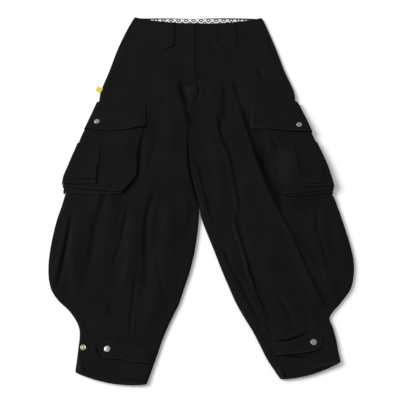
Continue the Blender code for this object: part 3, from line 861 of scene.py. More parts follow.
class Sewing:
    """Rows of stitches, gathered into one piece for each part of the garment."""

    LENGTH = 2.7
    PITCH = 3.4
    WIDTH = 0.75
    HEIGHT = 0.3

    def __init__(self) -> None:
        """Start without stitches."""
        self.points: list[Vector] = []
        self.faces: list[tuple[int, ...]] = []

    def row(self, path: Array | Path, tree: BVHTree, tall: float = 1.0) -> None:
        """Sew along a path on a piece.

        Args:
            path: Points in millimetres, seen from above.
            tree: The piece that the stitches lie on.
            tall: How far the stitches stand up, as a share of the usual.
        """
        points = np.asarray(path, float)
        steps = np.linalg.norm(np.diff(points, axis=0), axis=1)
        reached = np.concatenate([[0.0], np.cumsum(steps)])
        count = int(reached[-1] / self.PITCH)
        for number in range(count):
            start = (number + 0.5) * reached[-1] / max(count, 1) - self.LENGTH / 2
            ends = []
            for run in (start, start + self.LENGTH):
                x, y = np.interp(run, reached, points[:, 0]), np.interp(run, reached, points[:, 1])
                hit = drop(tree, x * MM, y * MM)
                if hit[0] is not None:
                    ends.append(hit)
            if len(ends) == 2:
                self.stitch(*ends[0], *ends[1], tall)

    def stitch(self, a: Vector, a_up: Vector, b: Vector, b_up: Vector, tall: float) -> None:
        """Add one stitch: a small rounded dash with both ends sunk into the cloth.

        Args:
            a: One end, in metres.
            a_up: The cloth's direction there.
            b: The other end.
            b_up: The cloth's direction there.
            tall: How far it stands up, as a share of the usual.
        """
        up = (a_up + b_up).normalized()
        along = b - a
        if along.length < 1e-6 or along.length > 3 * self.LENGTH * MM:
            return
        side = along.cross(up).normalized() * self.WIDTH * MM / 2
        rise = up * self.HEIGHT * MM * tall
        first = len(self.points)
        self.points.append(a - rise * 0.4)
        for share in (0.22, 0.78):
            middle = a + along * share
            self.points += [middle - side, middle - side * 0.6 + rise, middle + side * 0.6 + rise,
                            middle + side, middle - rise * 0.6]
        self.points.append(b - rise * 0.4)
        last = first + 11
        for k in range(5):
            n = (k + 1) % 5
            self.faces.append((first, first + 1 + n, first + 1 + k))
            self.faces.append((first + 1 + k, first + 1 + n, first + 6 + n, first + 6 + k))
            self.faces.append((last, first + 6 + k, first + 6 + n))

    def build(self, name: str, material: Material) -> None:
        """Make the piece from the rows sewn so far and start again."""
        if self.points:
            piece = mesh_piece(name, np.array(self.points) / MM, self.faces, material)
            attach(piece, "root")
            log.info("%s: %d stitches", name, len(self.points) // 12)
        self.points, self.faces = [], []


@dataclass
class Patch:
    """A piece of cloth lofted through sections that run from its inner to its outer edge."""

    name: str
    sections: Rows
    thickness: float = CLOTH
    reach: float = 6.0
    lift: float = 0.25
    rows: int = 40
    columns: int = 30
    hems: tuple[Edge, ...] = ()
    near: tuple[float, ...] = (0.0, 0.7, 1.4, 2.1, 3.0, 4.6, 6.3, 7.4, 8.5, 10.0, 12.5)
    wave: float = 0.25
    wave_size: float = 17.0
    # Paleness of the rim and of the pale edges, for worn cloth and a painted highlight; below 0 they paint
    # shade instead
    rim_wear: float = 0.6
    edge_wear: float = 0.9
    pale: tuple[Edge, ...] | None = None
    edge_wave: tuple[float, float, float] = (0.0, 1.0, 0.0)

    def table(self) -> Array:
        """The sections with a bow for each."""
        return np.array([(*row, 0) if len(row) == 4 else row for row in self.sections], float)

    def length(self) -> float:
        """Distance from the first section's middle to the last one's."""
        table = self.table()
        middles = np.stack([(table[:, 0] + table[:, 2]) / 2, (table[:, 1] + table[:, 3]) / 2], 1)
        return float(np.linalg.norm(np.diff(middles, axis=0), axis=1).sum())

    def width(self) -> float:
        """Width of the first section, in metres."""
        return section_width(self.table()[0]) * MM

    def lay_out(self, outer_cut: float = 0.0) -> tuple[Array, Array, dict[Edge, Array]]:
        """Spread the piece's points seen from above.

        Args:
            outer_cut: How much is left off at the outer edge.

        Returns:
            Places across, places along, and the distance of each from each edge.
        """
        table, length = self.table(), self.length()
        stops = edge_stops(length, self.rows, self.near)
        lofted = curve_through(table, stops / length * (len(table) - 1))
        x, y, inner, outer = spread_over(lofted, self.columns, self.near, outer_cut)
        along = np.repeat(stops[:, None], x.shape[1], axis=1)
        distances = {Edge.FIRST: along, Edge.LAST: length - along, Edge.INNER: inner, Edge.OUTER: outer}
        return x, self.waved(x, y, along), distances

    def lower_face(self, ground: Ground, x: Array, y: Array) -> Array:
        """Height of the piece's lower face on what is under it."""
        under = ground.over(x, y, self.reach)
        highest = np.nanmax(under, axis=1, keepdims=True)
        under = np.where(np.isnan(under), highest, under)
        return under + self.lift

    def laid(self, ground: Ground, x: Array, y: Array, inside: Array, rise: Array | None) -> Array:
        """Height of the lower face with its rise and soft waves, which fade towards the edges."""
        low = self.lower_face(ground, x, y)
        if rise is not None:
            low = low + rise
        return low + self.wave * wrinkles(x, y, self.wave_size, len(self.name)) * ease(inside / WAVE_FADE)

    def waved(self, x: Array, y: Array, from_first: Array | float) -> Array:
        """Move places near the first edge by that edge's wave."""
        place, width, amount = self.edge_wave
        return y + amount * np.exp(-((x - place) / width) ** 2 - (from_first / 30) ** 2)

    def nearest(self, distances: dict[Edge, Array], edges: tuple[Edge, ...]) -> Array:
        """Distance from the nearest of some edges."""
        if not edges:
            return np.full_like(distances[Edge.FIRST], 99.0)
        return np.minimum.reduce([distances[edge] for edge in edges])

    def hem_wear_and_painted_light(self, distances: dict[Edge, Array], x: Array, y: Array) -> Array:
        """How worn the piece is, most of all along its pale edges, which also carry a painted highlight;
        where their value is below 0 they carry painted shade.
        """
        hem = self.nearest(distances, self.hems)
        pale = hem if self.pale is None else self.nearest(distances, self.pale)
        rubbed_and_painted_light = HEM_WEAR * (1 - ease(hem / 9)) + self.edge_wear * bell(pale, PALE_WIDTH)
        return rubbed_and_painted_light + 0.15 * wrinkles(x, y, 9.0, 3.0)

    def edge_path(self, edge: Edge, inset: float, start: float = 0.0, end: float = 0.0) -> Array:
        """A line along an edge, for sewing.

        Args:
            edge: The edge.
            inset: Distance from the edge.
            start: What is left off at the line's start.
            end: What is left off at its end.

        Returns:
            Points seen from above.
        """
        table, length = self.table(), self.length()
        if edge in (Edge.FIRST, Edge.LAST):
            run = inset if edge is Edge.FIRST else length - inset
            section = curve_through(table, np.array([run / length * (len(table) - 1)]))[0]
            width = section_width(section)
            share = np.linspace(start, width - end, 40) / width
        else:
            run = np.linspace(start, length - end, 60)
            section = curve_through(table, run / length * (len(table) - 1)).T
            width = np.hypot(section[2] - section[0], section[3] - section[1])
            share = inset / width if edge is Edge.INNER else 1 - inset / width
        x, y = bowed(section, share)
        return np.stack([x, self.waved(x, y, run)], 1)

    def sew(self, sewing: Sewing, tree: BVHTree, edge: Edge, start: float | None = None,
            end: float | None = None, insets: tuple[float, ...] = STITCH_ROWS, tall: float = 1.0) -> None:
        """Sew rows along an edge.

        Args:
            sewing: Where the stitches are gathered.
            tree: The piece's own tree.
            edge: The edge.
            start: What is left off at the start of each row, or None for as much as its inset.
            end: What is left off at the end, or None for as much as its inset.
            insets: Distance of each row from the edge.
            tall: How far the stitches stand up, as a share of the usual.
        """
        for inset in insets:
            first, last = (inset if value is None else value for value in (start, end))
            sewing.row(self.edge_path(edge, inset, first, last), tree, tall)

    def settle(self, piece: Piece, ground: Ground, cut: Cut, *rests_on: str) -> BVHTree:
        """Tie the twill piece to the model and add it to what is laid."""
        finish_piece(piece, self.name)
        return ground.add(piece)

    def build(self, ground: Ground, material: Material, rise: Array | None = None,
              wall: Array | None = None) -> Piece:
        """Lay the piece flat on what is under it."""
        x, y, distances = self.lay_out()
        low = self.laid(ground, x, y, self.nearest(distances, tuple(Edge)), rise)
        if wall is None:
            wall = hemmed(self.thickness, self.nearest(distances, self.hems))
        wear = self.hem_wear_and_painted_light(distances, x, y)
        face = np.stack([x, y, low], -1)
        return cloth_wall(self.name + CLOTH_WORD, face, wall, material, wear, self.rim_wear)


@dataclass
class WrappedPatch(Patch):
    """A piece of a cargo pocket that goes round the leg's outer seam."""

    side: Side = Side.RIGHT
    wave_size: float = 19.0
    last_angle: float = -90.0
    under: tuple[float, ...] = ()

    CUT = ROUND_DEPTH + 2

    def carry_round(self, x: Array, y: Array, top: Array, outer_x: Array, low: Array) -> Array:
        """Carry the rows of the laid piece round the leg's outer edge and back under it.

        Args:
            x: Places across of the flat part.
            y: Places along of the flat part.
            top: Heights of the flat part's lower face.
            outer_x: How far out each row reaches.
            low: Height of each row's hidden part.

        Returns:
            Rows of points of the whole piece.
        """
        angles = np.radians(np.linspace(TURN_START, self.last_angle, TURN_POINTS))
        depth = ROUND_DEPTH - self.thickness
        middle_x, low = outer_x[:, None] - self.side.out * ROUND_DEPTH, low[:, None]
        half = (top[:, -1:] - low) / 2
        turn_x = middle_x + self.side.out * depth * np.cos(angles)[None]
        turn_z = low + half + half * np.sin(angles)[None]
        under_x = middle_x - self.side.out * np.array(self.under)[None]
        parts = [np.stack([x, y, top], -1)]
        for part_x, part_z in ((turn_x, turn_z), (under_x, np.repeat(low, len(self.under), 1))):
            parts.append(np.stack([part_x, np.repeat(y[:, -1:], part_x.shape[1], 1), part_z], -1))
        return np.concatenate(parts, axis=1)

    def build_round(self, ground: Ground, material: Material, low_height: Array, rise: Array | None = None,
                    taper: Array | None = None, rubbed_and_painted_light: Array | None = None) -> Piece:
        """Lay the piece on the leg and carry it round the outer edge.

        Args:
            ground: What has been laid.
            material: The piece's finish.
            low_height: Height of each row's hidden part.
            rise: Extra height of the flat part, or None.
            taper: Share of the thickness that each row keeps, or None.
            rubbed_and_painted_light: Extra wear, painted highlight and painted shade of the flat part, or
                None.

        Returns:
            The piece.
        """
        x, y, distances = self.lay_out(self.CUT)
        inside = self.nearest(distances, (Edge.INNER, Edge.FIRST, Edge.LAST))
        top = self.laid(ground, x, y, inside, rise)
        table = self.table()
        lofted = curve_through(table, distances[Edge.FIRST][:, 0] / self.length() * (len(table) - 1))
        low = self.carry_round(x, y, top, lofted[:, 2], low_height)
        extra = low.shape[1] - x.shape[1]
        stretched = {edge: np.pad(value, ((0, 0), (0, extra)), mode="edge")
                     for edge, value in distances.items() if edge is not Edge.OUTER}
        wall = hemmed(self.thickness, self.nearest(stretched, self.hems))
        hidden = np.arange(low.shape[1]) > x.shape[1] + TURN_POINTS // 2
        wall[:, hidden] = np.minimum(wall[:, hidden], self.thickness)
        if taper is not None:
            wall = wall * taper[:, None]
        wear = self.hem_wear_and_painted_light(stretched, low[..., 0], low[..., 1])
        if rubbed_and_painted_light is not None:
            wear[:, :x.shape[1]] += rubbed_and_painted_light
        return cloth_wall(self.name + CLOTH_WORD, low, wall, material, wear, self.rim_wear)


@dataclass
class Leg:
    """The front and back panels of one leg."""

    side: Side
    finish: Material
    front_rows: int = 232
    front_columns: int = 112
    back_rows: int = 130
    back_columns: int = 46
    relief: float = 1.25
    hollow: float = 6.0
    least: float = 0.8
    curl_height: float = 2.0
    curl_reach: float = 14.0
    seam_dip: float = 1.0
    pocket_reach: float = 164.0
    pocket_ends: tuple[float, float] = (-86.0, 266.0)
    pocket_fade: float = 36.0
    pocket_drop: float = 2.0
    fork_y: float = 196.0
    fork_fade: float = 66.0
    joined_width: float = 60.0
    yoke_y: float = 330.0
    yoke_fade: float = 120.0
    yoke_drop: float = 2.4
    softness: float = 0.8
    hem_rise: float = 0.4
    hem_groove: float = 0.5
    waist_groove: float = 0.35
    # How the front's relief turns into colour: paler ridges, partly worn and partly painted highlight, and
    # painted shade in the troughs
    relief_wear_and_shade_blurs: int = 10
    relief_wear_and_shade_height: float = 0.9
    # Pale rims of the panels, worn and with a painted highlight
    rim_wear: float = 0.15
    near: tuple[float, ...] = (0.0, 0.8, 1.8, 3.0, 4.4, 6.2, 8.4, 11.0, 14.0, 18.0)
    cuts: dict[Layer, Cut] = field(default_factory=lambda: {
        Layer.FRONT: Cut(0.36, 1.04, 0.272), Layer.BACK: Cut(0.36, 1.04, 0.266)})

    def sections(self, layer: Layer) -> Array:
        """The panel's sections from the waist to the hem."""
        rows = []
        for index, (out, centre) in enumerate(zip(OUTER[self.side], CENTRE)):
            centre_y = BACK_WAIST_Y if index == 0 and layer is Layer.BACK else centre[1]
            half_gap = float(np.interp(-centre[1], GAP_PLACES, HALF_GAPS[layer]))
            bow = WAIST_BOW[layer, self.side] if index == 0 else 0
            rows.append((*out, centre[0] + self.side.out * half_gap, centre_y, bow))
        return np.array(rows + list(LOWER[self.side]), float)

    def spread(self, layer: Layer) -> tuple[Array, ...]:
        """The panel's points seen from above.

        Args:
            layer: Front or back.

        Returns:
            Places across, places along, and the distances from the outer and the inner seam,
            from the waist and from the hem.
        """
        table = self.sections(layer)
        rows, columns = ((self.front_rows, self.front_columns) if layer is Layer.FRONT
                         else (self.back_rows, self.back_columns))
        places = np.linspace(0, len(table) - 1, rows)
        close = np.array([0.012, 0.03, 0.055, 0.09, 0.14, 0.2])
        places = np.sort(np.concatenate([places, close, len(table) - 1 - close]))
        lofted = [curve_through(table[:, :2], places), curve_through(table[:, 2:], places, FORK)]
        x, y, from_outer, from_inner = spread_over(np.concatenate(lofted, axis=1), columns, self.near)
        steps = np.hypot(np.diff(x, axis=0), np.diff(y, axis=0))
        run = np.concatenate([np.zeros((1, x.shape[1])), np.cumsum(steps, axis=0)])
        return x, y, from_outer, from_inner, run, run[-1:] - run

    def zone(self, from_outer: Array, y: Array) -> Array:
        """1 over the cargo pocket, fading to 0 around it."""
        bottom, top = self.pocket_ends
        across = ease((self.pocket_reach - from_outer) / self.pocket_fade)
        return across * ease((y - bottom) / self.pocket_fade) * ease((top - y) / self.pocket_fade)

    def build(self, layer: Layer) -> Piece:
        """Make one panel.

        Args:
            layer: Front or back.

        Returns:
            The panel.
        """
        x, y, from_outer, from_inner, from_waist, from_hem = self.spread(layer)
        joined = 1 - ease((self.fork_y - y) / self.fork_fade)
        edge = np.minimum(from_outer, from_inner + joined * self.joined_width)
        zone = self.zone(from_outer, y)
        curl = self.curl_height * np.maximum(0.0, 1 - edge / self.curl_reach) ** 2
        low = POCKET_LIFT * zone + curl
        folds = self.relief * sum(crease.height(x, y) for crease in CREASES[self.side])
        full = ease((60 - y) / 120) * ease((y + 430) / 120)
        grain = (1.3 * wrinkles(x, y, 66.0, 1.0, 2.2) + (0.5 + 1.3 * full) * wrinkles(x, y, 30.0, 2.0, 4.5)
                 + 0.25 * wrinkles(x, y, 9.0, 5.0, 1.8))
        if layer is Layer.FRONT:
            low = low + self.front_height(y, edge, zone, folds + grain, joined, from_inner, from_hem)
            # Painted shade along the creases that have a tone, and painted highlight where the tone is below
            # 0
            painted_crease_shade = sum(crease.shade(x, y) for crease in CREASES[self.side] if crease.tone)
            wear = self.front_wear_and_painted_light(low, from_hem) - painted_crease_shade
        else:
            inside = ease(edge / 12) * (1 - zone)
            low = low + 0.35 * inside * (grain + 1.0)
            wear = np.zeros_like(x)
        wall = CLOTH + self.hem_rise * (1 - ease((from_hem - HEM_STITCH - 2) / 2.5))
        wall = wall - self.hem_groove * bell(from_hem - HEM_STITCH, 1.4)
        wall = wall - self.waist_groove * bell(from_waist - WAIST_STITCH, 1.0)
        name = f"{layer.value}_{self.side.value}"
        face = np.stack([x, y, low], -1)
        piece = cloth_wall(name + CLOTH_WORD, face, wall, self.finish, wear, self.rim_wear)
        finish_piece(piece, name)
        return piece

    def front_height(self, y: Array, edge: Array, zone: Array, folds: Array, joined: Array,
                     from_inner: Array, from_hem: Array) -> Array:
        """Height of the front panel's lower face over the back panel's.

        Args:
            y: Places along.
            edge: Distance from the nearest loose edge or folded seam.
            zone: Share of the pocket zone.
            folds: Height of the creases.
            joined: 1 where the two fronts are sewn together.
            from_inner: Distance from the inner seam.
            from_hem: Distance from the hem.

        Returns:
            The heights.
        """
        yoke = ease((y - self.yoke_y) / self.yoke_fade)
        hollow = self.hollow - self.yoke_drop * yoke - self.pocket_drop * zone
        body = hollow + folds * (1 - 0.5 * yoke)
        least, soft = self.least + 0.5 * zone, self.softness
        body = np.where(body < least + soft, least + soft * np.exp((body - least - soft) / soft), body)
        beside = ease((150 - y) / 50) * ease((y + 110) / 60)
        inner_share = ease((60 - from_inner) / 40)
        if self.side is Side.LEFT:
            steep = 10.0 - 6.6 * beside * inner_share
            body = body + 2.6 * beside * bell(from_inner, 18)
        else:
            steep = 10.0 + (10.0 * ease((30 - y) / 70) - 2.0) * beside * inner_share
            body = body - 1.5 * beside * bell(from_inner, 20)
        turn = np.sqrt(1 - (1 - np.minimum(edge / steep, 1.0)) ** 2)
        seam = self.seam_dip * joined * bell(from_inner, 3.2)
        seam = seam - 0.5 * joined * bell(from_inner - 7, 4.0)
        mouth = 1.0 * bell(from_hem, 14)
        return CLOTH + GAP + (body + mouth) * turn - seam

    def front_wear_and_painted_light(self, low: Array, from_hem: Array) -> Array:
        """Wear and painted light of the front: paler on ridges, worn and with a painted highlight, darker
        with painted shade in troughs, and paler along the hem.
        """
        soft = low.copy()
        for _ in range(self.relief_wear_and_shade_blurs):
            soft = blurred(soft)
        raised = np.clip((low - soft) / self.relief_wear_and_shade_height, -1, 1)
        raised = np.where(raised > 0, 0.5, 0.6) * raised
        return raised + 0.2 * (1 - ease(from_hem / 10)) + 0.9 * bell(from_hem, 2.0)


@dataclass
class CargoPocket:
    """A cargo pocket with its gusset, body, pleat, pen pocket and flap."""

    side: Side
    cloth: Material
    body_rows: Rows
    gusset_rows: Rows
    pleat_rows: Rows
    pen_rows: Rows
    flap_rows: Rows
    bulge: tuple[float, float, float, float, float] | None = None
    creases: tuple[Crease, ...] = ()
    puff: float = 3.6
    gape: float = 2.4
    ripple: tuple[float, float] = (0.0, 0.0)
    flap_wave: tuple[float, float, float] = (0.0, 1.0, 0.0)
    inner_stitches: float = 0.8
    pen_stitches: tuple[float, float] = (0.6, 0.3)
    # Paleness of the gusset's lower edge, worn and with a painted highlight
    gusset_edge_wear_and_painted_light: float = 2.2
    bartack: tuple[float, float, float] = (14.0, 58.0, 78.0)
    bartack_gap: float = 3.0
    under: tuple[float, ...] = (6.0, 14.0, 28.0, 42.0, 56.0, 70.0, 84.0)

    def node(self, kind: str) -> str:
        """Name of a node of the pocket's leg."""
        return f"{kind}_{self.side.value}"

    def wrapped(self, kind: str, sections: Rows, **looks: object) -> WrappedPatch:
        """One of the pocket's pieces that go round the outer seam."""
        return WrappedPatch(self.node(kind), sections, side=self.side, **looks)

    def build(self, ground: Ground, sewing: Sewing) -> BVHTree:
        """Build the pocket from the leg upwards and return the flap's tree, for its snap."""
        self.build_gusset(ground, sewing)
        self.build_body(ground, sewing)
        self.build_pleat(ground, sewing)
        self.build_pen_pocket(ground, sewing)
        return self.build_flap(ground, sewing)

    def build_gusset(self, ground: Ground, sewing: Sewing) -> None:
        """The folded cloth under the pocket's lower edge."""
        gusset = self.wrapped("gusset", self.gusset_rows, reach=8, rows=10, columns=60, last_angle=-50,
                              hems=(Edge.FIRST,), edge_wear=self.gusset_edge_wear_and_painted_light)
        rows = gusset.lay_out()[0].shape[0]
        piece = gusset.build_round(ground, self.cloth, np.full(rows, 2 * CLOTH + 2 * GAP))
        tree = gusset.settle(piece, ground, Cut(0.036, 0.02 + gusset.width()), self.node("front"))
        gusset.sew(sewing, tree, Edge.FIRST, 3, 12, STITCH_ROWS[:1])

    def body_rise(self, x: Array, y: Array, distances: dict[Edge, Array]) -> Array:
        """Height of the pocket's body over the leg."""
        near = ease(distances[Edge.INNER] / 30) * ease((distances[Edge.LAST] - 10) / 50)
        near = near * ease(distances[Edge.FIRST] / 32)
        rise = 0.3 + self.puff * near
        rise = rise + self.gape * bell(distances[Edge.INNER], 14) * ease((112 - y) / 80)
        rise = rise + self.full(x, y) * (self.bulge[4] if self.bulge else 0.0)
        for crease in self.creases:
            rise = rise + crease.height(x, y) * ease(distances[Edge.FIRST] / 8)
        return rise

    def full(self, x: Array, y: Array) -> Array:
        """Share of the bulge that the pocket has at each place."""
        if not self.bulge:
            return np.zeros_like(x)
        middle_x, middle_y, wide, high, _ = self.bulge
        square = ((x - middle_x) / wide) ** 2 + ((y - middle_y) / high) ** 2
        return np.exp(-square ** 1.4)

    def build_body(self, ground: Ground, sewing: Sewing) -> None:
        """The pocket itself."""
        # The pocket's lower edge is pale, worn and with a painted highlight
        body = self.wrapped("pocket", self.body_rows, reach=8, rows=88, columns=74, under=self.under,
                            hems=(Edge.INNER, Edge.FIRST), wave=0.45, pale=(Edge.FIRST,),
                            edge_wear=2.0, rim_wear=0.0)
        x, y, distances = body.lay_out(body.CUT)
        low = CLOTH + (CLOTH + GAP) * ease((y[:, -1] - 104) / 8)
        # Painted highlight over the bulge and painted shade along the pocket's creases
        rubbed_and_painted_light = 0.8 * self.full(x, y) - sum(crease.shade(x, y) for crease in self.creases)
        # Painted shade along the left pocket's inner edge, which faces the light
        if self.side is Side.LEFT:
            rubbed_and_painted_light = rubbed_and_painted_light - 0.8 * bell(distances[Edge.INNER], 8)
        rise = self.body_rise(x, y, distances)
        piece = body.build_round(ground, self.cloth, low, rise, rubbed_and_painted_light=rubbed_and_painted_light)
        tree = body.settle(piece, ground, Cut(0.29, 0.27, 0.066), self.node("front"))
        body.sew(sewing, tree, Edge.FIRST, end=8)
        body.sew(sewing, tree, Edge.INNER, end=60, tall=self.inner_stitches)
        inset, start, end = self.bartack
        bartack = body.edge_path(Edge.INNER, inset, start, body.length() - end)
        for shift in (0.0, self.bartack_gap):
            sewing.row(bartack + np.array([self.side.out * shift, 0.0]), tree)

    def build_pleat(self, ground: Ground, sewing: Sewing) -> None:
        """The outer pleat of the pocket."""
        # The pleat's lower edge is pale, worn and with a painted highlight
        pleat = self.wrapped("pleat", self.pleat_rows, thickness=THIN_CLOTH, rows=44, last_angle=-20,
                             hems=(Edge.INNER, Edge.FIRST), wave=0.3, pale=(Edge.FIRST,),
                             edge_wear=1.9, rim_wear=0.2)
        _, y, distances = pleat.lay_out(pleat.CUT)
        taper = 0.25 + 0.75 * ease((distances[Edge.LAST][:, 0] - 2) / 26)
        rise = 0.7 * bell(distances[Edge.INNER], 9) * ease(distances[Edge.LAST] / 30)
        piece = pleat.build_round(ground, self.cloth, np.full(len(y), -GAP), rise, taper)
        tree = pleat.settle(piece, ground, Cut(0.094, 0.123), self.node("pocket"))
        pleat.sew(sewing, tree, Edge.INNER, 3, 8, STITCH_ROWS[:1])
        pleat.sew(sewing, tree, Edge.FIRST, 3, 8)

    def build_pen_pocket(self, ground: Ground, sewing: Sewing) -> None:
        """The small pocket on the pleat."""
        # Painted shade on the pen pocket's rim; its mouth edge is slightly pale, worn and with a painted
        # highlight
        pen = Patch(self.node("pen_pocket"), self.pen_rows, THIN_CLOTH, reach=5, rows=12, columns=16,
                    hems=(Edge.LAST,), wave=0.15, edge_wear=0.2, rim_wear=-0.3)
        piece = pen.build(ground, self.cloth)
        tree = pen.settle(piece, ground, Cut(0.048, 0.036), self.node("pleat"))
        mouth, sides = self.pen_stitches
        pen.sew(sewing, tree, Edge.LAST, 2, 2, tall=mouth)
        for edge in (Edge.INNER, Edge.OUTER, Edge.FIRST):
            pen.sew(sewing, tree, edge, 2, 2, STITCH_ROWS[:1], sides)

    def build_flap(self, ground: Ground, sewing: Sewing) -> BVHTree:
        """The flap, which goes round the outer seam with the pocket; returns its tree."""
        # The flap's hemmed edges and rims are pale, worn and with a painted highlight
        flap = self.wrapped("flap", self.flap_rows, reach=12, rows=46, columns=66, under=self.under,
                            hems=(Edge.FIRST, Edge.INNER), wave=0.35, edge_wear=1.9, rim_wear=1.2,
                            edge_wave=self.flap_wave)
        x, y, distances = flap.lay_out(flap.CUT)
        inner_lift, outer_lift = self.ripple
        lift = outer_lift + (inner_lift - outer_lift) * ease(1 - (distances[Edge.INNER] - 20) / 90)
        rise = 0.3 + (0.8 + lift) * bell(distances[Edge.FIRST], 16) * (1 + 0.4 * np.sin(x / 17))
        rise = rise * ease(distances[Edge.LAST] / 20 + 0.2) - 1.1 * bell(distances[Edge.INNER], 5)
        piece = flap.build_round(ground, self.cloth, np.full(len(y), CLOTH), rise)
        tree = flap.settle(piece, ground, Cut(0.27, 0.09), self.node("pocket"))
        for edge, end in ((Edge.FIRST, 6), (Edge.INNER, None), (Edge.LAST, 4)):
            flap.sew(sewing, tree, edge, end=end)
        return tree


@dataclass
class Snap:
    """A round metal snap turned from a profile of radius and height."""

    name: str
    place: tuple[float, float]
    profile: Path
    steps: int = 56
    sink: float = 0.15
    foot: float = 5.0
    rays: int = 12

    def build(self, tree: BVHTree, material: Material) -> None:
        """Set the snap on the cloth.

        Args:
            tree: The piece that carries it.
            material: Its finish.
        """
        x, y = self.place
        up, count, height = Vector((0, 0, 0)), 0, 0.0
        for angle in np.linspace(0, 2 * math.pi, self.rays, endpoint=False):
            spot = x + self.foot * math.cos(angle), y + self.foot * math.sin(angle)
            point, normal = drop(tree, spot[0] * MM, spot[1] * MM)
            if point is not None:
                up, count, height = up + normal, count + 1, height + point.z
        height = height / count / MM
        turn = (-DOWN).rotation_difference(up.normalized()).to_matrix()
        angles = np.linspace(0, 2 * math.pi, self.steps, endpoint=False)
        points, faces = [], []
        for radius, level in self.profile:
            for angle in angles:
                spot = radius * math.cos(angle), radius * math.sin(angle), level - self.sink
                offset = turn @ Vector(spot)
                points.append((x + offset.x, y + offset.y, height + offset.z))
        for ring in range(len(self.profile) - 1):
            for k in range(self.steps):
                n = (k + 1) % self.steps
                a, b = ring * self.steps, (ring + 1) * self.steps
                faces.append((a + k, b + k, b + n, a + n))
        faces.append(tuple(range(self.steps)))
        last = (len(self.profile) - 1) * self.steps
        faces.append(tuple(last + k for k in reversed(range(self.steps))))
        piece = mesh_piece(self.name + "_metal", np.array(points), faces, material)
        finish_piece(piece, self.name)


CAP_PROFILE: Path = (
    (0.6, 1.95), (1.8, 1.93), (3.2, 1.86), (4.4, 1.74), (5.2, 1.58), (5.5, 1.5), (5.8, 1.56), (6.3, 1.5),
    (6.8, 1.2), (7.0, 0.8), (6.9, 0.3), (6.6, 0.0),
)
STUD_PROFILE: Path = (
    (0.4, 2.7), (1.2, 2.66), (1.7, 2.5), (1.95, 2.2), (1.75, 1.8), (1.6, 1.4), (2.2, 1.1), (3.4, 1.05),
    (4.0, 1.3), (4.5, 1.8), (5.1, 2.05), (5.8, 1.9), (6.3, 1.4), (6.5, 0.8), (6.4, 0.0),
)


